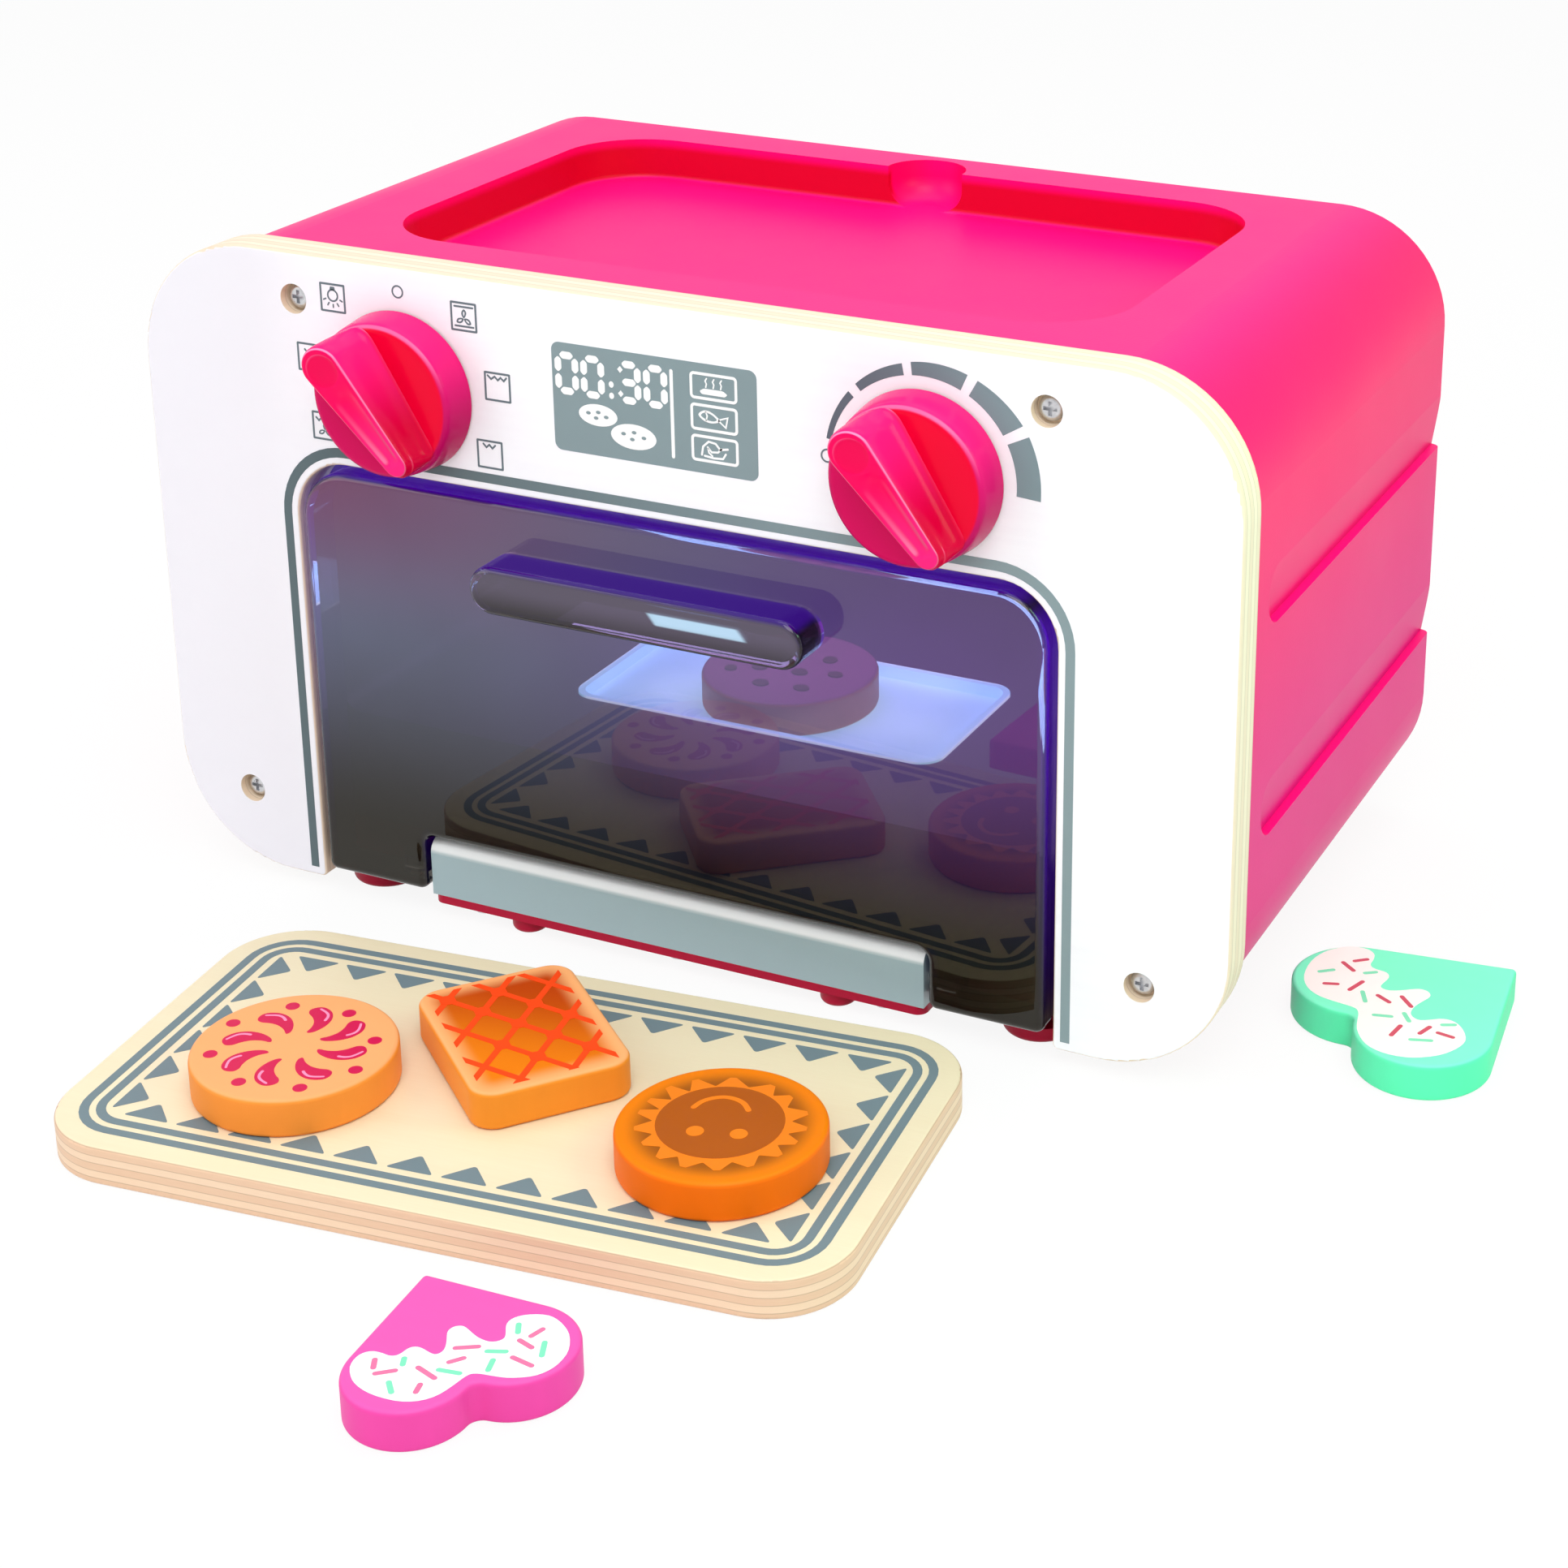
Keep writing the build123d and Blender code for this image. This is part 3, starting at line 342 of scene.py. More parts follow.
INK_SINK = -0.02
INK_HEIGHT = 0.08
INK_WELD = 0.0005
SECOND_LAYER = 0.03
THIRD_LAYER = 0.08


def add_face(points):
    """Draw one face in edit mode and give its corners their places."""
    bpy.ops.mesh.primitive_circle_add(vertices=len(points), fill_type="NGON")
    if bpy.context.object.mode != "EDIT":
        bpy.ops.object.mode_set(mode="EDIT")
    mesh = bmesh.from_edit_mesh(bpy.context.object.data)
    mesh.verts.ensure_lookup_table()
    for vertex, point in zip(mesh.verts[-len(points):], points):
        vertex.co = point


class InkLayer:
    """Thin flat shapes drawn in one plane, in millimetres, and raised a little above a surface."""

    def __init__(self, name, place, low=INK_SINK, height=INK_HEIGHT):
        self.name = name
        self.place = place @ Matrix.Diagonal((MM, MM, MM, 1))
        self.low = low
        self.height = height
        self.shapes = []

    def shape(self, *outlines):
        self.shapes += outlines

    def ribbon(self, first, second, closed=False):
        """A line between two paths that have the same number of points."""
        count = len(first)
        for index in range(count if closed else count - 1):
            following = (index + 1) % count
            self.shapes.append([first[index], first[following], second[following], second[index]])

    def band(self, outer, inner):
        self.ribbon(outer, inner, True)

    def outline(self, half_width, half_height, radius, width, centre=(0.0, 0.0)):
        """A rectangular frame line lying inside its outer size."""
        outer = rounded_box(half_width, half_height, radius, centre)
        inner_radius = max(radius - width, radius * 0.4)
        inner = rounded_box(half_width - width, half_height - width, inner_radius, centre)
        self.band(outer, inner)

    def raise_up(self, body, slot, material):
        """Build the shapes, give them their thickness and put them in place."""
        clear_selection()
        for points in self.shapes:
            add_face([(x, y, self.low) for x, y in points])
        bpy.ops.mesh.select_all(action="SELECT")
        bpy.ops.mesh.remove_doubles(threshold=INK_WELD)
        bpy.ops.mesh.select_all(action="SELECT")
        bpy.ops.mesh.extrude_region_move(TRANSFORM_OT_translate={"value": (0, 0, self.height)})
        bpy.ops.mesh.select_all(action="SELECT")
        bpy.ops.mesh.normals_make_consistent(inside=False)
        bpy.ops.object.mode_set(mode="OBJECT")
        piece = bpy.context.object
        piece.name = self.name
        piece.matrix_world = self.place
        bpy.ops.object.transform_apply(location=True, rotation=True, scale=True)
        piece.data.materials.append(material)
        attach(piece, body)


def front_place():
    """The drawing plane of the panel's face: x to the right, y up."""
    turn = Matrix(((1, 0, 0), (0, 0, -1), (0, 1, 0))).to_4x4()
    return Matrix.Translation((0, FRONT_Y, 0)) @ turn


def top_place(node, turn=0.0, middle=None):
    """The drawing plane of a loose piece's top face, turned about its middle."""
    x, y = middle or node_middle(node).xy
    return Matrix.Translation((x, y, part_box(node)[1].z)) @ Matrix.Rotation(turn, 4, "Z")


# ------------------------------------------------ panel prints, in millimetres from the middle and the floor
PANEL_SLOT = ("oven", "painted_panel")
MOUTH_LINE_FOOT = 6.6
# half width, height above the floor, corner
MOUTH_LINE_INNER = (113.15, 131.6, 18.4)
MOUTH_LINE_OUTER = (115.7, 134.3, 21.0)
TIMER_CENTRE = (75.0, 153.3)
TIMER_INNER_RADIUS = 25.0
# from angle, to angle, outer radius at either end
TIMER_BLOCKS = (
    (168.0, 137.0, 26.4, 27.0),
    (131.0, 101.0, 27.2, 28.0),
    (96.0, 66.0, 28.3, 29.5),
    (60.5, 31.5, 29.7, 31.0),
    (26.0, -4.0, 31.2, 31.3),
)
ICON_CENTRES = (
    (-94.9, 175.95), (-54.55, 176.05), (-45.35, 158.45), (-48.7, 139.6), (-103.5, 158.5), (-100.3, 139.8),
)
ICON_HALF = 3.95
ICON_CORNER = 0.35
ICON_LINE = 0.56
ICON_STROKE = 0.5
ICON_BULB = (-94.85, 176.6)
ICON_BULB_RADIUS = 1.75
THIN_RING = 0.45
ICON_BULB_CAP = ((-95.5, 179.0), (-94.2, 179.0), (-94.0, 178.1), (-95.7, 178.1))
ICON_BULB_RAYS = (205, 238, 270, 302, 335)
ICON_RAY_ENDS = (2.45, 3.2)
ICON_RAY_WIDTH = 0.42
ICON_ZIGZAGS = (
    (
        (-48.2, 161.3), (-47.2, 160.4), (-46.1, 161.2), (-45.2, 160.3), (-44.3, 161.1), (-43.4, 160.3),
        (-42.6, 161.2),
    ),
    ((-50.6, 142.4), (-49.7, 141.5), (-48.8, 142.3), (-47.9, 141.4), (-47.0, 142.3)),
    ((-105.0, 160.6), (-104.2, 159.8), (-103.4, 160.6)),
    ((-102.9, 142.0), (-102.1, 141.2), (-101.2, 142.0), (-100.3, 141.2), (-99.4, 142.0)),
)
FAN_BAR_HEIGHTS = (178.7, 173.5)
FAN_BAR_ENDS = (-57.2, -51.7)
FANS = (((-54.5, 175.6), 0.88), ((-100.3, 138.6), 0.8))
FAN_BLADE_ANGLES = (85, 205, 325)
FAN_BLADE_OUTER = ((0.1, 0.0), (0.9, 0.75), (1.9, 0.85), (2.85, 0.15), (2.1, -0.7), (1.0, -0.6))
FAN_BLADE_INNER = ((0.75, 0.03), (1.15, 0.3), (1.8, 0.33), (2.2, 0.06), (1.85, -0.2), (1.2, -0.18))
OFF_MARKS = (((-74.45, 180.2), 1.8), ((49.35, 154.2), 1.85))
CLOCK_MIDDLE = (0.7, 158.75)
CLOCK_HALF = (29.4, 14.45)
CLOCK_CORNER = 2.2
ZERO_CENTRES = (-24.35, -16.8, 1.4)
THREE_CENTRE = -6.2
DIGIT_HALF_WIDTH = 2.5
DIGIT_TOP = 169.9
DIGIT_MIDDLE = 165.2
DIGIT_BOTTOM = 160.45
DIGIT_SIDES = (167.4, 162.9)
# half length, half width, how far its corners are cut, half of its blunt end
DIGIT_BAR = (1.95, 0.98, 0.75, 0.2)
DIGIT_ROUNDING = 0.3
DIGIT_STUB = ((0.8, 0), (0, 0.9), (-0.8, 0), (0, -0.9))
DIGIT_STUB_SHIFT = 0.95
COLON_X = -11.4
COLON_DOTS = (164.0, 161.0)
COLON_DOT_RADIUS = 0.85
DIVIDER = ((6.0, 170.0), (6.0, 147.4))
DIVIDER_WIDTH = 0.95
COOKIE_CHIP_RADIUS = 0.45
COOKIE_CHIP_STRETCH = 1.5
# half width, half height, corner, line
DISH_FRAME = (6.7, 3.55, 1.2, 0.75)
DISH_FRAME_CENTRES = ((17.95, 167.3), (17.95, 159.1), (17.95, 150.9))
# x, z, half width, half height, places of its chips
COOKIES = (
    (-15.6, 155.2, 5.65, 2.9, ((-2.8, 0.3), (0.1, 0.8), (-0.6, -0.8), (2.4, -0.2))),
    (-5.4, 150.9, 6.6, 3.35, ((-2.9, 0.5), (0.2, 1.2), (-0.4, -0.7), (3.0, 0.1))),
)
CAKE = ((14.0, 166.0), (15.2, 166.7), (20.6, 166.7), (21.9, 165.9), (21.2, 165.2), (14.6, 165.2))
STEAM_PLACES = (15.8, 17.9, 20.0)
STEAM = ((0.25, 169.4), (-0.15, 168.7), (0.2, 168.0), (0.0, 167.1))
STEAM_WIDTH = 0.38
FISH_OUTER = ((13.5, 159.7), (15.2, 161.0), (17.4, 160.6), (19.6, 158.8), (17.6, 157.9), (15.2, 158.2))
FISH_INNER = ((14.2, 159.6), (15.4, 160.45), (17.2, 160.1), (18.7, 158.95), (17.5, 158.4), (15.5, 158.7))
FISH_LINES = (
    (((19.3, 159.0), (21.8, 159.9), (21.2, 157.2), (19.3, 158.7)), 0.45),
    (((15.6, 160.6), (16.0, 159.6), (15.7, 158.5)), 0.4),
)
BIRD_LINES = (
    (((14.2, 149.2), (14.6, 151.4), (16.2, 152.9), (18.2, 152.6), (19.4, 151.2), (21.6, 151.6)), 0.55),
    (((15.0, 149.0), (17.6, 148.7), (20.2, 148.9), (21.0, 150.2)), 0.55),
    (((15.9, 151.4), (17.0, 150.2), (18.8, 150.4), (19.8, 151.4)), 0.5),
    (((17.2, 149.2), (16.2, 150.0), (16.0, 151.0)), 0.45),
)


def mouth_path(edge_x, top, radius):
    """One side of the line that runs round the oven's mouth."""
    path = [(-edge_x, MOUTH_LINE_FOOT)]
    path += arc((-edge_x + radius, top - radius), radius, 180, 90)
    path += arc((edge_x - radius, top - radius), radius, 90, 0)
    return [*path, (edge_x, MOUTH_LINE_FOOT)]


def timer_block(start, end, first, last):
    """The two edges of one block of the timer scale, which grows thicker along it."""
    return arc(TIMER_CENTRE, (first, last), start, end), arc(TIMER_CENTRE, TIMER_INNER_RADIUS, start, end)


def thin_ring(ink, centre, radius, count=24):
    ink.band(disc(centre, radius, count), disc(centre, radius - THIN_RING, count))


def fan_blades(ink, centre, scale):
    """Three rounded fan blades, drawn as outlines round a small hub."""
    outer = smooth_loop(FAN_BLADE_OUTER, 4)
    inner = smooth_loop(FAN_BLADE_INNER, 4)
    for angle in FAN_BLADE_ANGLES:
        ink.band(*(turned(loop, math.radians(angle), centre, scale) for loop in (outer, inner)))


def draw_icons(ink):
    """The cooking marks round the selector knob, and the off mark beside each knob."""
    for centre in ICON_CENTRES:
        ink.outline(ICON_HALF, ICON_HALF, ICON_CORNER, ICON_LINE, centre)
    # a lamp: round bulb, cap above it and rays below
    thin_ring(ink, ICON_BULB, ICON_BULB_RADIUS, 20)
    ink.shape(rounded(ICON_BULB_CAP, 0.2))
    for angle in ICON_BULB_RAYS:
        ink.shape(stroke(arc(ICON_BULB, ICON_RAY_ENDS, angle, angle, 1), ICON_RAY_WIDTH))
    # a fan between two bars, grill zigzags in the other frames, and another fan under the last of them
    for z in FAN_BAR_HEIGHTS:
        ink.shape(stroke([(x, z) for x in FAN_BAR_ENDS], ICON_STROKE))
    for zigzag in ICON_ZIGZAGS:
        ink.shape(stroke(zigzag, ICON_STROKE))
    for centre, scale in FANS:
        fan_blades(ink, centre, scale)
    for centre, radius in OFF_MARKS:
        thin_ring(ink, centre, radius)


def segment(centre, upright=False):
    """One bar of a lit digit: a short bar with cut corners."""
    half_length, half_width, cut, blunt = DIGIT_BAR
    straight = half_length - cut
    top = [(-half_length, blunt), (-straight, half_width), (straight, half_width), (half_length, blunt)]
    points = [*top, *turned(top, math.pi)]
    return rounded(turned(points, math.pi / 2 if upright else 0.0, centre), DIGIT_ROUNDING, 2)


def draw_digits(white):
    """The clock's 00:30, in bars."""
    for x in ZERO_CENTRES:
        white.shape(segment((x, DIGIT_TOP)), segment((x, DIGIT_BOTTOM)))
        for side in (-1, 1):
            for z in DIGIT_SIDES:
                white.shape(segment((x + side * DIGIT_HALF_WIDTH, z), True))
    for z in (DIGIT_TOP, DIGIT_MIDDLE, DIGIT_BOTTOM):
        white.shape(segment((THREE_CENTRE, z)))
    for z in DIGIT_SIDES:
        white.shape(segment((THREE_CENTRE + DIGIT_HALF_WIDTH, z), True))
        outward = math.copysign(DIGIT_STUB_SHIFT, z - DIGIT_MIDDLE)
        white.shape(turned(DIGIT_STUB, 0.0, (THREE_CENTRE - DIGIT_HALF_WIDTH, z + outward)))
    for z in COLON_DOTS:
        white.shape(disc((COLON_X, z), COLON_DOT_RADIUS, 12, 0.85))


def draw_display(white, chips):
    """The clock's digits, its two cookies and the three dishes beside them."""
    draw_digits(white)
    white.shape(stroke(DIVIDER, DIVIDER_WIDTH))
    for x, z, half_width, half_height, spots in COOKIES:
        white.shape(disc((x, z), half_height, 32, half_width / half_height))
        for shift_x, shift_z in spots:
            spot = (x + shift_x, z + shift_z)
            chips.shape(disc(spot, COOKIE_CHIP_RADIUS, 12, COOKIE_CHIP_STRETCH))
    for centre in DISH_FRAME_CENTRES:
        white.outline(*DISH_FRAME, centre)
    white.shape(rounded(CAKE, 0.4))
    for x in STEAM_PLACES:
        white.shape(stroke(turned(STEAM, 0.0, (x, 0.0)), STEAM_WIDTH))
    white.band(smooth_loop(FISH_OUTER, 4), smooth_loop(FISH_INNER, 4))
    for points, width in (*FISH_LINES, *BIRD_LINES):
        white.shape(stroke(points, width))


# ------------------------------------------------ prints on the tray and the biscuits
TRAY_EDGE_MARGIN = 6.2
TRAY_STRIPE_WIDTH = 2.35
TRAY_STRIPE_GAP = 1.6
TRAY_STRIPE_RADIUS = 13.0
TRAY_TRIANGLE_BASE = 12.3
TRAY_TRIANGLE_HEIGHT = 6.6
TRAY_TRIANGLE_GAP = 0.5
TRAY_TRIANGLE_ROUNDING = 1.1
TRAY_ROW_COUNT = 12
TRAY_ROW_PITCH = 14.0
TRAY_COLUMN_COUNT = 6
TRAY_COLUMN_PITCH = 12.9
TRAY_HALF = (102.0, 54.5)


def draw_tray_border(ink):
    """Two lines round the tray with a row of triangles inside them."""
    step = TRAY_STRIPE_WIDTH + TRAY_STRIPE_GAP
    for line in (0, 1):
        inset = TRAY_EDGE_MARGIN + line * step
        radius = TRAY_STRIPE_RADIUS - line * step
        outer = rounded_box(TRAY_HALF[0] - inset, TRAY_HALF[1] - inset, radius)
        inset += TRAY_STRIPE_WIDTH
        inner = rounded_box(TRAY_HALF[0] - inset, TRAY_HALF[1] - inset, radius - TRAY_STRIPE_WIDTH)
        ink.band(outer, inner)
    base = TRAY_EDGE_MARGIN + 2 * step + TRAY_TRIANGLE_GAP
    half = TRAY_TRIANGLE_BASE / 2
    wedge = [(-half, 0.0), (half, 0.0), (0.0, -TRAY_TRIANGLE_HEIGHT)]
    spots = []
    for index in range(TRAY_ROW_COUNT):
        x = (index - (TRAY_ROW_COUNT - 1) / 2) * TRAY_ROW_PITCH
        spots += [(0.0, (x, TRAY_HALF[1] - base)), (math.pi, (x, base - TRAY_HALF[1]))]
    for index in range(TRAY_COLUMN_COUNT):
        y = (index - (TRAY_COLUMN_COUNT - 1) / 2) * TRAY_COLUMN_PITCH
        spots += [(math.pi / 2, (base - TRAY_HALF[0], y)), (-math.pi / 2, (TRAY_HALF[0] - base, y))]
    for angle, spot in spots:
        ink.shape(rounded(turned(wedge, angle, spot), TRAY_TRIANGLE_ROUNDING))


PETAL = (
    (5.3, -3.7), (7.0, -5.1), (9.4, -6.1), (11.9, -6.1), (14.0, -5.6), (15.6, -6.2), (16.1, -8.0),
    (15.4, -9.7), (13.4, -10.8), (11.3, -11.0), (8.9, -10.3), (6.7, -8.6), (5.2, -6.4), (4.7, -4.6),
)
PETAL_GLEAM = ((9.2, -8.8), (10.4, -9.6), (11.8, -9.9), (13.3, -9.5), (14.9, -8.7))
PETAL_COUNT = 8
# angle and distance from the middle
JAM_DOTS = (
    (80.5, 18.2), (31.5, 19.1), (-8.5, 20.2), (-49.5, 19.7),
    (-96.0, 18.9), (-144.3, 19.7), (173.0, 20.2), (128.0, 19.1),
)
JAM_DOT_RADIUS = 1.75

SMILE = ((-9.3, 3.3), (-8.7, 6.2), (-7.0, 8.6), (-4.6, 10.1), (-1.8, 10.3), (0.8, 9.4), (3.0, 7.4))
EYES = ((-4.0, -5.4), (5.8, -2.3))
EYE_RADIUS = 2.1
# angle and reach of each ray
SUN_RAYS = (
    (-249, 19.8), (-223, 20.4), (-204, 21.0), (-185, 20.6), (-170, 20.4), (-150, 20.2), (-130, 19.4),
    (-109, 19.4), (-88, 19.2), (-64, 19.2), (-41, 19.4), (-18, 19.6), (0, 19.6), (18, 20.0),
    (37, 20.2), (61, 19.3), (81, 19.6),
)
SUN_VALLEY = 16.4
SUN_FACE_MIDDLE = (-0.6, 0.4)
SUN_FACE_RADIUS = 15.1
DOUGH_CHIP_HEIGHT = 0.5
# x, y, radius, stretch along x
DOUGH_CHIPS = (
    (-12.0, 8.0, 2.0, 1.3), (-3.0, 13.5, 1.8, 1.2), (8.0, 9.0, 2.1, 1.0), (14.0, 0.5, 1.7, 1.3),
    (4.0, -2.0, 2.0, 1.2), (-8.0, -3.5, 1.8, 1.3), (-15.0, -7.5, 1.6, 1.1), (-2.5, -13.0, 2.0, 1.2),
    (9.5, -11.5, 1.8, 1.3),
)

ICING = (
    (-22.8, -6.0), (-22.3, -3.0), (-21.0, -0.9), (-19.5, 0.3), (-18.0, 0.6), (-16.5, 0.2),
    (-15.0, -1.2), (-14.0, -2.5), (-12.7, -3.1), (-11.3, -2.7), (-10.0, -1.9), (-8.8, -1.7),
    (-7.7, -2.2), (-6.8, -3.4), (-6.0, -5.0), (-5.2, -6.0), (-4.2, -6.1), (-3.0, -5.3),
    (-2.0, -3.3), (-1.3, -1.0), (-0.7, 0.5), (0.3, 1.3), (1.3, 1.5), (2.5, 1.1),
    (3.2, 0.0), (3.8, -2.0), (4.6, -4.2), (5.8, -6.0), (7.0, -6.9), (8.5, -7.1),
    (9.7, -6.5), (10.4, -4.8), (11.0, -2.8), (12.0, -1.4), (13.5, -0.7), (15.5, -0.7),
    (18.0, -1.5), (20.3, -3.0), (21.6, -5.2), (22.3, -8.0), (22.4, -11.0), (21.5, -14.5),
    (20.0, -17.3), (17.5, -19.7), (15.0, -21.0), (12.3, -21.5), (9.5, -21.0), (6.5, -19.8),
    (4.0, -18.0), (2.0, -16.4), (0.5, -15.6), (-0.5, -15.6), (-2.0, -16.3), (-4.5, -17.8),
    (-7.5, -19.3), (-10.5, -19.8), (-13.5, -19.2), (-16.5, -17.5), (-19.5, -14.5), (-21.5, -11.5),
    (-22.6, -8.5),
)
SPRINKLE_WIDTH = 1.25
# x and y of either end of each sprinkle
PINK_HEART_PINK = (
    (-17.0, -2.7, -17.9, -5.2), (-18.0, -7.3, -14.0, -8.0), (-9.4, -9.0, -7.2, -13.8),
    (-10.4, -14.7, -11.8, -16.7), (-0.7, -5.8, 3.8, -7.3), (-3.1, -9.9, 0.0, -9.8),
    (12.3, -8.8, 13.9, -12.2), (9.4, -13.8, 12.2, -18.1), (14.9, -8.4, 17.8, -7.1),
)
PINK_HEART_MINT = (
    (-11.3, -4.8, -12.1, -6.7), (-16.1, -11.3, -16.4, -14.7), (-5.7, -11.5, -2.1, -14.4),
    (5.1, -9.6, 8.6, -11.3), (5.4, -13.0, 3.6, -15.8), (13.6, -3.4, 12.7, -6.0), (16.9, -11.7, 15.1, -15.7),
)
MINT_HEART_RED = (
    (-16.4, -4.9, -15.8, -2.2), (-17.0, -7.4, -13.2, -7.4), (-11.5, -15.7, -10.1, -13.5),
    (-7.0, -12.5, -8.5, -8.3), (-2.4, -8.6, 0.9, -8.1), (0.3, -4.5, 4.4, -5.1),
    (11.8, -15.1, 9.7, -11.4), (13.9, -9.6, 12.8, -6.4), (15.4, -6.2, 18.2, -4.6),
)
MINT_HEART_MINT = (
    (-16.1, -13.9, -15.4, -11.0), (-11.2, -5.8, -10.5, -3.6), (-5.1, -10.6, -1.6, -12.3),
    (3.7, -13.7, 5.8, -11.0), (6.0, -7.9, 9.0, -8.8), (13.3, -3.6, 14.4, -1.4), (15.0, -12.6, 17.2, -9.2),
)
# body, paint, where its drawing lies, turn in degrees, size, shift, its red or pink sprinkles, its mint ones
HEARTS = (
    ("pink_heart", "pink_paint", (43.6, -254.6), 48.5, 1.0, (0.0, 0.0), PINK_HEART_PINK, PINK_HEART_MINT),
    ("mint_heart", "mint_paint", (192.6, -32.6), -38.5, 1.255, (-2.0, -1.0), MINT_HEART_RED, MINT_HEART_MINT),
)

# low x, high x, low y, high y
WAFFLE_LIMITS = (-24.6, 24.2, -17.4, 16.5)
WAFFLE_BAR_WIDTH = 1.7
WAFFLE_GUSSET_REACH = 2.1
WAFFLE_EDGE = 4.0
FALLING_SLOPE = -0.86
RISING_SLOPE = 0.69
FALLING_BARS = (-35.2, -18.9, -2.2, 13.8, 29.8)
RISING_BARS = (-35.0, -18.0, -1.2, 16.4, 34.0)


def clipped_line(point, slope, limits):
    """The two ends of a straight line inside a box."""
    low_x, high_x, low_y, high_y = limits
    ends = []
    for x in (low_x, high_x):
        y = point[1] + slope * (x - point[0])
        if low_y <= y <= high_y:
            ends.append((x, y))
    for y in (low_y, high_y):
        x = point[0] + (y - point[1]) / slope
        if low_x < x < high_x:
            ends.append((x, y))
    return ends


def bar_outline(start, end, width, limits):
    """A straight bar cut off square with the box it lies in."""
    along = (Vector(end) - Vector(start)).normalized()
    across = Vector((-along.y, along.x)) * width / 2
    made = []
    for anchor, way in ((start, -1), (end, 1)):
        on_side = min(abs(anchor[0] - limits[0]), abs(anchor[0] - limits[1])) < 0.01
        for side in (1, -1) if way < 0 else (-1, 1):
            spot = Vector(anchor) + across * side
            share = (anchor[0] - spot.x) / along.x if on_side else (anchor[1] - spot.y) / along.y
            made.append(tuple(spot + along * share))
    return made


def bars_crossing(first, second):
    """Where a falling and a rising bar of the waffle meet."""
    x = (FALLING_SLOPE * first - RISING_SLOPE * second) / (FALLING_SLOPE - RISING_SLOPE)
    return x, FALLING_SLOPE * (x - first)


def draw_waffle(falling, rising, gussets):
    """The crossed bars on the waffle, with a gusset where two of them meet."""
    low_x, high_x, low_y, high_y = WAFFLE_LIMITS
    for layer, slope, shifts in ((falling, FALLING_SLOPE, FALLING_BARS), (rising, RISING_SLOPE, RISING_BARS)):
        for shift in shifts:
            ends = clipped_line((shift, 0.0), slope, WAFFLE_LIMITS)
            layer.shape(bar_outline(*ends, WAFFLE_BAR_WIDTH, WAFFLE_LIMITS))
    for first in FALLING_BARS:
        for second in RISING_BARS:
            x, y = bars_crossing(first, second)
            inside_x = low_x + WAFFLE_EDGE < x < high_x - WAFFLE_EDGE
            if inside_x and low_y + WAFFLE_EDGE < y < high_y - WAFFLE_EDGE:
                gussets.shape(gusset((x, y)))


def gusset(centre):
    """A star that fills the four corners between two crossing bars."""
    made = []
    half = WAFFLE_BAR_WIDTH / 2
    falling, rising = math.atan(FALLING_SLOPE), math.atan(RISING_SLOPE)
    for angle in (falling, rising, falling + math.pi, rising + math.pi):
        made += turned([(WAFFLE_GUSSET_REACH, -half), (WAFFLE_GUSSET_REACH, half)], angle, centre)
    return made


def draw_sun(rays, face, marks):
    """A sun with pointed rays, a dark face, a smile and two eyes."""
    outline = []
    angles = [angle for angle, _ in SUN_RAYS]
    for (angle, reach), following in zip(SUN_RAYS, [*angles[1:], angles[0] + 360]):
        outline += arc((0, 0), reach, angle - 2.2, angle + 2.2, 2)
        middle = (angle + following) / 2
        outline += arc((0, 0), SUN_VALLEY, middle - 0.6, middle + 0.6, 1)
    rays.shape(outline)
    face.shape(disc(SUN_FACE_MIDDLE, SUN_FACE_RADIUS, 48))
    marks.shape(stroke(smooth_path(SMILE), 1.4))
    for eye in EYES:
        marks.shape(disc(eye, EYE_RADIUS))


def draw_jam(petals, gleams):
    """A ring of eight curved petals with light edges, and a dot between each two."""
    for index in range(PETAL_COUNT):
        angle = index * 2 * math.pi / PETAL_COUNT
        petals.shape(turned(smooth_loop(PETAL, 3), angle))
        gleams.shape(turned(stroke(smooth_path(PETAL_GLEAM), 0.75, 0.8), angle))
    for angle, reach in JAM_DOTS:
        petals.shape(disc(arc((0, 0), reach, angle, angle, 1)[0], JAM_DOT_RADIUS))


def draw_icing(icing, scale, shift):
    """Icing with a wavy edge."""
    icing.shape(turned(smooth_loop(ICING, 2), 0.0, shift, scale))


def draw_sprinkles(layer, lines, scale, shift):
    """Short round-ended sprinkles, all of one colour."""
    for line in lines:
        layer.shape(stroke(turned((line[:2], line[2:]), 0.0, shift, scale), SPRINKLE_WIDTH))


# ------------------------------------------------ knobs, in millimetres from the back of each disc
KNOB_TURN = math.radians(126.0)
KNOB_WELD = 0.002
# radius and height of each loop
KNOB_DISC = (
    (21.8, 0.0), (21.78, 0.5), (21.4, 4.0), (21.0, 7.6), (20.85, 8.3), (20.6, 8.9),
    (20.2, 9.4), (19.7, 9.75), (19.1, 9.95), (18.3, 10.0), (14.0, 10.02), (6.0, 10.02),
)
# place along the pointer, radius, height
POINTER_HEAD = (13.8, 6.0, 22.0)
POINTER_TAIL = (-16.5, 3.5, 18.0)
# how far the loop grows, and its height
POINTER_FLARE = ((4.6, 9.8), (3.6, 10.15), (2.5, 10.8), (1.7, 12.0), (1.15, 13.8), (0.8, 15.6))
# how far the loop grows, and how far it lies above the crown
POINTER_CROWN = (
    (0.4, -2.2), (0.15, -1.2), (-0.1, -0.6), (-0.45, -0.2), (-0.9, -0.02),
    (-1.5, 0.0), (-2.3, 0.0), (-3.2, 0.0), (-4.2, 0.0), (-5.2, 0.0),
)
POINTER_REACH = 20.3
HEAD_STEPS = 18
TAIL_STEPS = 10
FLANK_STEPS = 12
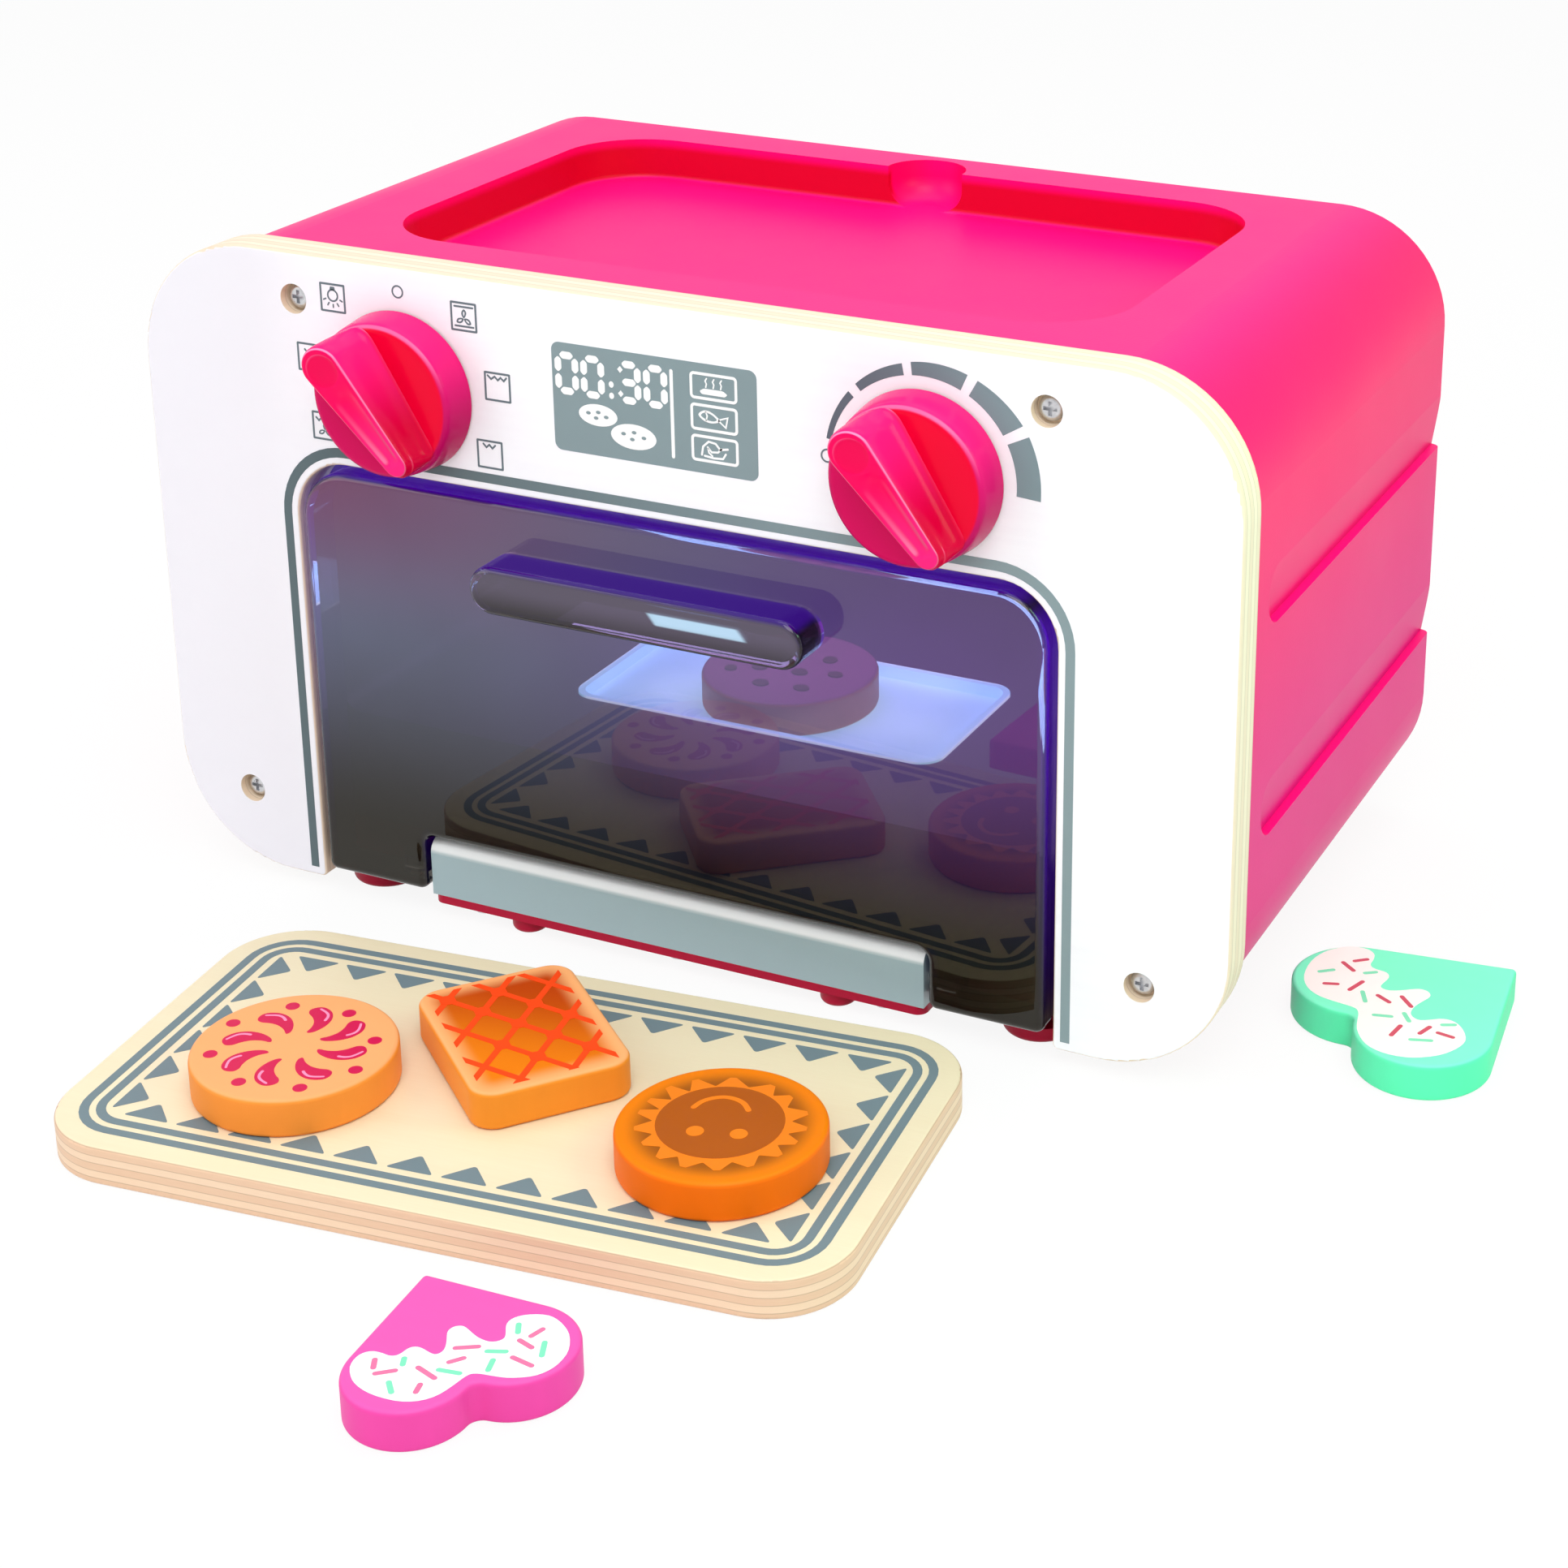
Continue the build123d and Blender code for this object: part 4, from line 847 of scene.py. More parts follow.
# place along the pointer, radius, depth
DIMPLE = (13.4, 4.7, 0.4)
DIMPLE_STEEPNESS = 6
# front, back, half width at either end, depth
TROUGH = (7.5, -15.5, 4.0, 2.3, 1.0)
TROUGH_OVERRUN = 1.5
TROUGH_RAMPS = (6.0, 3.0)
TROUGH_ROUNDNESS = 1.3
CROWN_SKIN = 0.15
KNOB_SIDES = 96
KNOB_SMOOTHED_TO = math.radians(38)


def flank(start, end):
    """The points inside a straight flank of the pointer."""
    shares = (step / FLANK_STEPS for step in range(1, FLANK_STEPS))
    return [tuple(Vector(start).lerp(Vector(end), share)) for share in shares]


def drop_loop(grow):
    """The plan of the pointer: a round head on +x, a smaller round tail and straight flanks."""
    head_x, head_radius, _ = POINTER_HEAD
    tail_x, tail_radius, _ = POINTER_TAIL
    head = head_radius + grow
    tail = tail_radius + grow if grow > 0 else tail_radius * (1 + grow / head_radius)
    touch = math.degrees(math.acos((head - tail) / (head_x - tail_x)))
    made = arc((head_x, 0), head, -touch, touch, HEAD_STEPS)
    far = arc((tail_x, 0), tail, touch, 360 - touch, TAIL_STEPS)
    return [*made, *flank(made[-1], far[0]), *far, *flank(far[-1], made[0])]


def pointer_height(x):
    """How high the pointer's crown is at x."""
    share = (x - POINTER_TAIL[0]) / (POINTER_HEAD[0] - POINTER_TAIL[0])
    return POINTER_TAIL[2] + (POINTER_HEAD[2] - POINTER_TAIL[2]) * share


def held_in(point):
    """The point, drawn in to the disc's face if it lies outside."""
    reach = math.hypot(*point)
    return tuple(part * min(1.0, POINTER_REACH / reach) for part in point)


def dish_depth(x, y):
    """How deep the crown is hollowed: a round dimple in the head and a long trough behind it."""
    centre, radius, depth = DIMPLE
    hollow = depth * max(0.0, 1 - (math.hypot(x - centre, y) / radius) ** DIMPLE_STEEPNESS)
    front, back, front_half, back_half, trough = TROUGH
    share = min(1.0, max(0.0, (front - x) / (front - back)))
    half = front_half + (back_half - front_half) * share
    front_end = min(1.0, max(0.0, (front + TROUGH_OVERRUN - x) / TROUGH_RAMPS[0]))
    ends = front_end * min(1.0, max(0.0, (x - back + TROUGH_OVERRUN) / TROUGH_RAMPS[1]))
    across = max(0.0, 1 - (y / half) ** 2) ** TROUGH_ROUNDNESS
    return max(hollow, trough * ends * ends * (3 - 2 * ends) * across)


def rungs(row):
    """Faces that span a mirrored loop from side to side, like the rungs of a ladder."""
    half = len(row) // 2
    front = HEAD_STEPS // 2
    made = []
    for index in range(front, front + half):
        corners = [row[index], row[index + 1], row[2 * front - index - 1], row[2 * front - index]]
        made.append([corner for place, corner in enumerate(corners) if corner not in corners[:place]])
    return made


def nearest_place(point, places):
    return min(range(len(places)), key=lambda index: (places[index] - point).length_squared)


def lofted(name, rows, ladder=False):
    """A closed form drawn as a stack of loops, each one extruded from the loop before."""
    clear_selection()
    bpy.ops.mesh.primitive_circle_add(vertices=len(rows[0]), fill_type="NGON")
    piece = bpy.context.object
    piece.name = name
    bpy.ops.object.mode_set(mode="EDIT")
    last = [vertex.co.copy() for vertex in bmesh.from_edit_mesh(piece.data).verts]
    for row in [rows[0], *rows]:
        mesh = bmesh.from_edit_mesh(piece.data)
        for vertex in mesh.verts:
            if vertex.select:
                vertex.co = row[nearest_place(vertex.co, last)]
        bmesh.update_edit_mesh(piece.data)
        last = [Vector(point) for point in row]
        if row is not rows[-1]:
            bpy.ops.mesh.extrude_region_move()
    if ladder:
        bpy.ops.mesh.delete(type="ONLY_FACE")
        for corners in rungs(rows[-1]):
            add_face(corners)
        bpy.ops.mesh.select_all(action="SELECT")
        bpy.ops.mesh.remove_doubles(threshold=KNOB_WELD)
    bpy.ops.mesh.select_all(action="SELECT")
    bpy.ops.mesh.normals_make_consistent(inside=False)
    bpy.ops.object.mode_set(mode="OBJECT")
    return piece


def knob_pointer():
    """The pointer on a knob, flared into the disc's face and hollowed along its crown."""
    rows = []
    for grow, height in POINTER_FLARE:
        rows.append([(*held_in(point), height) for point in drop_loop(grow)])
    for grow, drop in POINTER_CROWN:
        rows.append([(x, y, pointer_height(x) + drop) for x, y in map(held_in, drop_loop(grow))])
    pointer = lofted("pointer", rows, True)
    smoother = pointer.modifiers.new("smooth", "SUBSURF")
    smoother.levels = smoother.render_levels = 2
    bpy.ops.object.modifier_apply(modifier=smoother.name)
    for vertex in pointer.data.vertices:
        x, y, z = vertex.co
        if z > pointer_height(x) - CROWN_SKIN:
            vertex.co.z -= dish_depth(x, y)
    return pointer


def knob_disc():
    """The knob's thick round disc with its soft front edge."""
    rows = [[(*point, height) for point in disc((0, 0), radius, KNOB_SIDES)] for radius, height in KNOB_DISC]
    return lofted("disc", rows)


def knob_back(node):
    """The middle of the back of a knob's disc."""
    middle = node_middle(node)
    return middle.x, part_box(node)[1].y, middle.z


def turned_knob(name, node, body, material):
    """One whole knob in place of its solid."""
    pointer = knob_pointer()
    round_part = knob_disc()
    pointer.select_set(True)
    round_part.select_set(True)
    bpy.context.view_layer.objects.active = round_part
    bpy.ops.object.join()
    round_part.name = name
    cosine, sine = math.cos(KNOB_TURN), math.sin(KNOB_TURN)
    axes = Matrix(((cosine, -sine, 0), (0, 0, -1), (sine, cosine, 0))).to_4x4()
    back = Matrix.Translation(knob_back(node))
    round_part.matrix_world = back @ axes @ Matrix.Diagonal((MM, MM, MM, 1))
    bpy.ops.object.transform_apply(location=True, rotation=True, scale=True)
    bpy.ops.object.shade_smooth_by_angle(angle=KNOB_SMOOTHED_TO)
    round_part.data.materials.append(material)
    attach(round_part, body)
    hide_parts(node)


# ------------------------------------------------ places and shades of the finishes, in metres
TRAY_TURN = math.radians(6.0)
WAFFLE_TURN = math.radians(-39.7)
WELL_FLOOR_Z = 0.1723
WELL_HALF_WIDTH = 0.109
WELL_HALF_DEPTH = 0.066
WELL_MIDDLE_Y = 0.0078
WELL_FADE = 0.002
# painted light down the housing's sides, changing with height
HOUSING_SIDE_LIGHT_HEIGHTS = (0.16, 0.06)
HOUSING_SIDE_PAINTED_LIGHT = (linear(250, 0, 104), linear(230, 0, 126))
LINER_DARK = linear(58, 38, 84)
# painted violet glow on the cavity walls, stronger higher up
LINER_GLOW_HEIGHTS = (0.05, 0.13)
LINER_GLOWS = ((0.01, 0.004, 0.03), (0.10, 0.03, 0.42))
# where the knobs' painted light, shade and highlights lie, and their colours
KNOB_FACE_RISE = 0.01
POINTER_RISE = (0.0125, 0.0145)
POINTER_EDGE_RISE = (0.0152, 0.0162)
KNOB_CROWN_FADE = (0.006, -0.014)
KNOB_FACE_FADE = (-0.004, 0.004)
KNOB_FLANK_FADE = (-0.012, 0.014)
KNOB_CROWN_PAINTED_LIGHT = linear(250, 34, 124)
KNOB_DIMPLE_PAINTED_SHADE = linear(232, 0, 78)
KNOB_FACE_LIGHT_AND_SHADE = (linear(232, 0, 50), linear(210, 4, 92))
KNOB_FLANK_LIGHT_AND_SHADE = (linear(206, 0, 54), linear(244, 26, 118))
KNOB_WALL_LIGHT_AND_SHADE = (linear(190, 8, 92), linear(242, 30, 122))
KNOB_PAINTED_HIGHLIGHT = linear(255, 150, 200)
# painted sheen on the hinge bar's upper rounding
HINGE_SHEEN = 0.7
PLIES = 5
PLY_STRETCH = 12.0
FLAT_FACE = (0.75, 0.95)
ROUNDED_TOP = (0.45, 0.9)
BROWNED_TOP = (0.6, 0.95)
PANEL_PLIES = (linear(246, 230, 208), linear(232, 208, 182))
PANEL_WHITES = (linear(244, 241, 245), linear(249, 248, 250))
# painted shade towards the panel's left end, and a faint cool painted glow
PANEL_LEFT = (-0.09, -0.125)
PANEL_LEFT_PAINTED_SHADE = linear(234, 229, 234)
PANEL_GLOW = (0.0, 0.024, 0.045)
PANEL_PAINT_Y = (0.0008, 0.0003)
TRAY_PLIES = (linear(242, 214, 184), linear(222, 180, 146))
TRAY_VENEER = (linear(241, 229, 198), linear(230, 210, 174))
SUN_BROWN = linear(158, 84, 8)
SUN_BROWN_REACH = (0.0232, 0.0172)
# the waffle's browned colours, darker towards the back
WAFFLE_BROWN_PAIR = (linear(190, 66, 0), linear(236, 124, 6))
WAFFLE_SLANT_FADE = (-0.02, 0.02)
WAFFLE_BROWN_X = (0.0262, 0.0195)
WAFFLE_BROWN_Y = (0.0188, 0.0128)
NO_GLOW = (0.0, 0.0, 0.0)
DOOR_GLOSS_TINT = (0.95, 0.88, 0.74)
# where the door's painted glows, sheen and gleam lie
DOOR_FACE_Y = (-0.0008, -0.0014)
DOOR_RIM_Z = (-0.004, -0.001)
HANDLE_Y = (-0.0022, -0.0034)
HANDLE_TOP_Z = (-0.0165, -0.0145)
HANDLE_SHEEN_Z = (-0.027, -0.017)
GLEAM_SLOPE = 0.8
GLEAM_LEFT = (-0.0095, -0.008)
GLEAM_RIGHT = (0.018, 0.016)
GLEAM_FOOT_Z = (-0.0204, -0.0198)
GLEAM_TOP_Z = (-0.0168, -0.0174)
# painted light and shade of the door: a darker foot, a lighter top, glows, a sheen and a gleam
DOOR_FOOT_PAINTED_SHADE = (linear(52, 50, 46), linear(60, 58, 54))
DOOR_TOP_PAINTED_LIGHT = linear(94, 88, 104)
DOOR_PAINTED_GLOWS = ((0.085, 0.1, 0.16), (0.07, 0.035, 0.14))
DOOR_CORNER_PAINTED_GLOW = (0.13, 0.035, 0.085)
DOOR_EDGE_GLOW = (0.03, 0.0, 0.2)
HANDLE_SHADE = linear(26, 24, 30)
HANDLE_SHEEN = (0.075, 0.062, 0.1)
HANDLE_GLEAM = (0.42, 0.62, 0.78)
WINDOW_SHADE = linear(200, 210, 245)
WINDOW_GLOWS = (linear(120, 188, 206), linear(168, 226, 222))
WINDOW_RIM_GLOW = (0.95, 1.0, 1.0)
WINDOW_RIM = (0.0045, 0.003)
SCREW_ZINC = ((0.45, 0.46, 0.48), (0.8, 0.8, 0.82))


# ------------------------------------------------ finishes
def body_colour(name):
    """One of the oven's colours as it stands in the settings."""
    return tuple(getattr(bpy.context.scene.oven_colours, name))


def moulded_plastic(name, roughness, grain=0.00004, coat=0.0, specular=0.5):
    """Moulded plastic before its colour: slight waviness, which is returned too, and a spark-eroded grain."""
    paint = Paint(name, Coat_Weight=coat, Coat_Roughness=0.08, Specular_IOR_Level=specular)
    spot = paint.place()
    cloud = paint.noise(spot, scale=35.0, detail=3.0)
    paint.set("Roughness", roughness + (cloud - 0.5) * 0.08)
    paint.bump(paint.noise(spot, scale=1800.0, detail=1.0), distance=grain, strength=0.5)
    return paint, cloud


def housing_finish():
    """Satin plastic: painted shade deepens the red where the walls of the well face each other, and painted
    light makes the sides pinker.
    """
    paint, cloud = moulded_plastic("housing_satin", 0.38, specular=0.16)
    x, y, z = paint.axes(paint.place())
    face_x, _, face_z = paint.facing()
    upright = 1 - face_z.size().between(0.35, 0.9)
    below_rim = z.between(HOUSING_TOP_Z - 0.0005, HOUSING_TOP_Z - 0.0035)
    above_floor = z.between(WELL_FLOOR_Z - WELL_FADE, WELL_FLOOR_Z)
    in_width = x.size().between(WELL_HALF_WIDTH, WELL_HALF_WIDTH - WELL_FADE)
    in_depth = (y - WELL_MIDDLE_Y).size().between(WELL_HALF_DEPTH, WELL_HALF_DEPTH - WELL_FADE)
    # painted shade: this mask finds the upright walls inside the well, which take the darker red
    inside = upright * below_rim * above_floor * in_width * in_depth
    plain = paint.clouded(cloud, body_colour("housing"), 0.95)
    # painted light: the sides change colour with height
    side = paint.mix(z.between(*HOUSING_SIDE_LIGHT_HEIGHTS), *HOUSING_SIDE_PAINTED_LIGHT)
    plain = paint.mix(face_x.size().between(0.15, 0.8), plain, side)
    paint.set("Base Color", paint.mix(inside * 0.85, plain, body_colour("well_painted_shade")))
    return paint.material


def dark_base_finish():
    paint, cloud = moulded_plastic("base_dark_red", 0.4, specular=0.2)
    paint.set("Base Color", paint.clouded(cloud, body_colour("base"), 0.93))
    return paint.material


def liner_finish():
    """Cavity walls with a painted violet glow near the top, for the light they catch."""
    paint, cloud = moulded_plastic("liner_dark", 0.5)
    paint.set("Base Color", paint.clouded(cloud, LINER_DARK, 0.93))
    _, _, z = paint.axes(paint.place())
    # painted light: a violet glow that grows towards the top
    paint.set("Emission Color", paint.mix(z.between(*LINER_GLOW_HEIGHTS), *LINER_GLOWS))
    paint.set("Emission Strength", 0.35)
    return paint.material


def knob_front(paint, along, across, rise):
    """What faces ahead on a knob, in painted light and shade: the disc, red to magenta, and the pointer's
    crown, paler towards its tail, with a darker dimple.
    """
    crown = paint.mix(along.between(*KNOB_CROWN_FADE), body_colour("knob"), KNOB_CROWN_PAINTED_LIGHT)
    centre, radius = DIMPLE[0] * MM, DIMPLE[1] * MM
    reach = ((along - centre) * (along - centre) + across * across).root()
    crown = paint.mix(reach.between(radius + 0.0001, radius - 0.0004) * 0.7, crown, KNOB_DIMPLE_PAINTED_SHADE)
    face = paint.mix(across.between(*KNOB_FACE_FADE), *KNOB_FACE_LIGHT_AND_SHADE)
    return paint.mix(rise.between(*POINTER_RISE), face, crown)


def knob_sides(paint, along, rise, face_z):
    """The disc's wall and the pointer's flanks, in painted light: the wall paler where it looks up, the flanks
    paler towards the head.
    """
    flank = paint.mix(along.between(*KNOB_FLANK_FADE), *KNOB_FLANK_LIGHT_AND_SHADE)
    wall = paint.mix(face_z.between(-0.4, 0.85), *KNOB_WALL_LIGHT_AND_SHADE)
    return paint.mix(rise.between(KNOB_FACE_RISE - 0.0002, KNOB_FACE_RISE + 0.0002), wall, flank)


def knob_painted_highlight_mask(rise, face_y, face_z):
    """Where painted highlights go: along the edge of the pointer's crown and the upper edge of the disc."""
    rounding = face_y.size().between(0.5, 0.66) * face_y.size().between(0.95, 0.84)
    pointer_edge = rise.between(*POINTER_EDGE_RISE) * (0.4 + face_z.between(0.0, 0.5) * 0.6)
    near_face = rise.between(KNOB_FACE_RISE + 0.0004, KNOB_FACE_RISE + 0.0001) * rise.between(0.0082, 0.0088)
    return rounding * pointer_edge.most(near_face * face_z.between(0.1, 0.6) * 0.5)


def knob_finish(name, node):
    """Glossy plastic with painted light and shade: red beside the pointer, magenta on its crown, pinker
    wherever it faces up, with painted highlights.
    """
    paint, _ = moulded_plastic(name, 0.2, grain=0.00001, coat=0.08, specular=0.05)
    x, y, z = paint.axes(paint.place(at=knob_back(node)))
    along = x * math.cos(KNOB_TURN) + z * math.sin(KNOB_TURN)
    across = z * math.cos(KNOB_TURN) - x * math.sin(KNOB_TURN)
    rise = y * -1.0
    _, face_y, face_z = paint.facing()
    front = knob_front(paint, along, across, rise)
    plain = paint.mix(face_y.size().between(0.8, 0.97), knob_sides(paint, along, rise, face_z), front)
    # painted highlights along the pointer's crown and the disc's upper edge
    paint.set("Base Color", paint.mix(knob_painted_highlight_mask(rise, face_y, face_z) * 0.8, plain, KNOB_PAINTED_HIGHLIGHT))
    return paint.material


def hinge_finish():
    """Grey satin plastic with a painted sheen that makes its upper rounding a little paler."""
    paint, _ = moulded_plastic("hinge_grey", 0.3, coat=0.3)
    colour = body_colour("hinge_bar")
    _, _, face_z = paint.facing()
    painted_sheen_colour = tuple(part + (1 - part) * HINGE_SHEEN for part in colour)
    paint.set("Base Color", paint.mix(face_z.between(0.0, 0.35), colour, painted_sheen_colour))
    return paint.material


def plywood_edge(paint, across, along, thickness, light, dark):
    """Colour of a cut plywood edge: thin sheets in turn, with darker glue lines and end grain."""
    wobble = paint.noise(along, scale=9.0, detail=2.0) * 0.25
    layer = across / thickness * PLIES + wobble
    glue = (layer.fraction() - 0.5).size().between(0.4, 0.5)
    alternate = (layer * math.pi).sine().between(-0.4, 0.4)
    grain = paint.noise(along, scale=260.0, detail=3.0, roughness=0.6)
    body = paint.mix(alternate * 0.5 + grain * 0.35, light, dark)
    return paint.mix(glue * 0.65, body, darkened(dark, 0.6))


def panel_finish():
    """White satin paint on the faces of birch plywood whose edges stay bare, with painted shade towards the
    left end and a faint cool painted glow.
    """
    paint = Paint("panel_white_ply", Coat_Weight=0.12, Coat_Roughness=0.25, Emission_Strength=1.0)
    x, y, z = paint.axes(paint.place(at=(0, FRONT_Y, 0)))
    along = paint.joined(x, y * PLY_STRETCH, z)
    edge = plywood_edge(paint, y, along, PANEL_HIGH.y - FRONT_Y, *PANEL_PLIES)
    _, face_y, _ = paint.facing()
    painted = face_y.size().between(*FLAT_FACE) * y.between(*PANEL_PAINT_Y)
    weave = paint.noise(paint.place(scale=(1, 1, 14)), scale=30.0, detail=3.0)
    # painted shade: the white darkens towards the left end
    white = paint.mix(x.between(*PANEL_LEFT), paint.mix(weave, *PANEL_WHITES), PANEL_LEFT_PAINTED_SHADE)
    paint.set("Base Color", paint.mix(painted, edge, white))
    # painted light: a faint cool glow on the painted faces
    paint.set("Emission Color", paint.mix(painted, NO_GLOW, PANEL_GLOW))
    paint.set("Roughness", 0.62 - painted * 0.25)
    paint.bump(paint.noise(along, scale=500.0, detail=2.0), distance=0.00003, strength=0.4)
    return paint.material


def tray_finish():
    """Clear-coated birch: a sliced face veneer and thick plywood edges."""
    paint = Paint("tray_birch", Coat_Weight=0.1, Coat_Roughness=0.3)
    x, y, z = paint.axes(paint.place(at=(*node_middle("tray").xy, 0), turn=(0, 0, -TRAY_TURN)))
    edge = plywood_edge(paint, z, paint.joined(x, y, z * PLY_STRETCH), TRAY_TOP_Z, *TRAY_PLIES)
    board = paint.joined(x * 0.12, y * 2.2, z)
    rings = paint.noise(board, scale=22.0, detail=4.0, roughness=0.55, distortion=1.2)
    fibre = paint.noise(paint.joined(x * 0.2, y * 4.0, z), scale=420.0, detail=2.0)
    face = paint.mix(rings * 0.6 + fibre * 0.25, *TRAY_VENEER)
    _, _, face_z = paint.facing()
    top = face_z.size().between(*FLAT_FACE)
    paint.set("Base Color", paint.mix(top, edge, face))
    paint.set("Roughness", 0.55 - top * 0.08)
    paint.bump(fibre, distance=0.00004, strength=0.5)
    return paint.material


def painted_wood(name, side_colour, top_colour):
    """Satin paint over wood with a trace of the grain, and its colour, which differs on top."""
    paint = Paint(name, Coat_Weight=0.05, Coat_Roughness=0.2, Specular_IOR_Level=0.1)
    spot = paint.place(scale=(1, 5, 1))
    cloud = paint.noise(spot, scale=45.0, detail=3.0)
    paint.set("Roughness", 0.42 + cloud * 0.08)
    paint.bump(paint.noise(spot, scale=700.0, detail=2.0), distance=0.00004, strength=0.4)
    _, _, face_z = paint.facing()
    side = paint.clouded(cloud, side_colour, 0.9)
    return paint, paint.mix(face_z.between(*ROUNDED_TOP), side, paint.clouded(cloud, top_colour, 0.95))


def plain_piece(name, side_colour, top_colour):
    """A biscuit or heart with nothing browned on it."""
    paint, plain = painted_wood(name, side_colour, top_colour)
    paint.set("Base Color", plain)
    return paint.material


def jam_finish():
    return plain_piece("peach_paint", linear(253, 152, 60), linear(252, 172, 112))


def chip_finish():
    """Baked dough colour whose top is painted violet for the violet light on it."""
    return plain_piece("dough_paint", linear(214, 140, 100), linear(150, 84, 120))


def pink_heart_finish():
    return plain_piece("pink_paint", linear(240, 74, 168), linear(252, 92, 180))


def mint_heart_finish():
    return plain_piece("mint_paint", linear(96, 242, 184), linear(128, 252, 208))


def sun_finish():
    """Orange paint, browned in a soft ring round the sun's rays."""
    paint, plain = painted_wood("orange_paint", linear(248, 114, 2), linear(238, 126, 0))
    x, y, _ = paint.axes(paint.place(at=(*node_middle("sun_biscuit").xy, 0)))
    _, _, face_z = paint.facing()
    browned = (x * x + y * y).root().between(*SUN_BROWN_REACH) * face_z.between(*BROWNED_TOP)
    paint.set("Base Color", paint.mix(browned, plain, SUN_BROWN))
    return paint.material


def waffle_finish():
    """Peach paint, browned towards the middle of the top, the browning darker towards the back."""
    paint, plain = painted_wood("waffle_paint", linear(248, 150, 46), linear(253, 176, 114))
    spot = paint.place(at=(*node_middle("waffle_biscuit").xy, 0), turn=(0, 0, -WAFFLE_TURN))
    x, y, _ = paint.axes(spot)
    _, _, face_z = paint.facing()
    browned = x.size().between(*WAFFLE_BROWN_X) * (y + 0.0004).size().between(*WAFFLE_BROWN_Y)
    # the browned colour runs darker towards the back
    brown_slant = paint.mix((x * 0.8 - y * 0.6).between(*WAFFLE_SLANT_FADE), *WAFFLE_BROWN_PAIR)
    paint.set("Base Color", paint.mix(browned * face_z.between(*BROWNED_TOP), plain, brown_slant))
    return paint.material


def screw_finish():
    """Zinc plating with fine scratches."""
    paint = Paint("screw_zinc", Metallic=1.0)
    scratch = paint.noise(paint.place(), scale=900.0, detail=2.0)
    paint.set("Base Color", paint.mix(scratch, *SCREW_ZINC))
    paint.set("Roughness", 0.22 + scratch * 0.2)
    return paint.material


def door_painted_glow(paint, share_up, share_right, where):
    """Painted light in the sheet for its glow and reflections: bluish on the left, violet on the right,
    reddish top left.
    """
    tint = paint.mix(share_right.between(-0.8, 0.8), *DOOR_PAINTED_GLOWS)
    tint = paint.mix(share_up.between(0.6, 1.0) * share_right.between(0.2, -1.0), tint, DOOR_CORNER_PAINTED_GLOW)
    return paint.mix(share_up.between(0.12, 0.8) * where, NO_GLOW, tint)


def handle_gleam(paint, painted_sheet_light, front, x, z):
    """A painted grey sheen along the front of the handle and one painted slanting reflection in it."""
    painted_sheet_light = paint.mix(front * z.between(*HANDLE_SHEEN_Z), painted_sheet_light, HANDLE_SHEEN)
    slant = x + z * GLEAM_SLOPE
    gleam = slant.between(*GLEAM_LEFT) * slant.between(*GLEAM_RIGHT) * z.between(*GLEAM_FOOT_Z)
    return paint.mix(front * gleam * z.between(*GLEAM_TOP_Z), painted_sheet_light, HANDLE_GLEAM)


def smoked_finish():
    """Polished smoked plastic with painted light: violet light from inside painted as a glow along its edges
    that fades down the sheet, and a tint painted lighter at the top.
    """
    paint = Paint("door_smoked", Transmission_Weight=1.0, IOR=1.49, Coat_Weight=0.06, Coat_Roughness=0.02)
    paint.set("Roughness", 0.015)
    paint.set("Specular IOR Level", 0.25)
    paint.set("Specular Tint", DOOR_GLOSS_TINT)
    x, y, z = paint.axes(paint.place(at=((DOOR_LOW.x + DOOR_HIGH.x) / 2, FRONT_Y, DOOR_HIGH.z)))
    face_x, face_y, face_z = paint.facing()
    share_up = 1 + z / (DOOR_HIGH.z - DOOR_LOW.z)
    share_right = x / ((DOOR_HIGH.x - DOOR_LOW.x) / 2)
    cloud = paint.noise(paint.place(), scale=14.0, detail=3.0)
    handle = y.between(*HANDLE_Y)
    # painted light and shade: the sheet's tint is darker at its foot and lighter at the top
    sheet = paint.mix(share_up.between(0.1, 0.8), paint.mix(cloud, *DOOR_FOOT_PAINTED_SHADE), DOOR_TOP_PAINTED_LIGHT)
    paint.set("Base Color", paint.mix(handle, sheet, HANDLE_SHADE))
    in_sheet = (1 - handle) * y.between(*DOOR_FACE_Y) * (0.7 + cloud * 0.6)
    painted_sheet_light = door_painted_glow(paint, share_up, share_right, in_sheet)
    painted_sheet_light = handle_gleam(paint, painted_sheet_light, handle * face_y.between(-0.6, -0.95), x, z)
    rim = face_z.between(*ROUNDED_TOP) * z.between(*DOOR_RIM_Z)
    side = face_x.size().between(0.6, 0.95) * share_up * (1 - handle)
    handle_top = face_z.between(0.3, 0.85) * handle * z.between(*HANDLE_TOP_Z)
    lit = rim.most(side).most(handle_top)
    # painted light: a violet glow on the rim, the sides and the handle's top
    paint.set("Emission Color", paint.mix(lit * 0.9, painted_sheet_light, DOOR_EDGE_GLOW))
    paint.set("Emission Strength", 1.0)
    return paint.material


def window_finish():
    """Frosted dish lit from below, brightest along its rim."""
    paint = Paint("window_lit", Roughness=0.5, Emission_Strength=5.0)
    spot = paint.place(at=(*node_middle("uv_window").xy, 0))
    x, y, _ = paint.axes(spot)
    half = (WINDOW_HIGH - WINDOW_LOW) / 2
    start, full = WINDOW_RIM
    rims = [part.size().between(reach - start, reach - full) for part, reach in ((x, half.x), (y, half.y))]
    inner = paint.mix(paint.noise(spot, scale=14.0, detail=2.0).between(0.35, 0.65), *WINDOW_GLOWS)
    paint.set("Base Color", WINDOW_SHADE)
    paint.set("Emission Color", paint.mix(rims[0].most(rims[1]), inner, WINDOW_RIM_GLOW))
    return paint.material


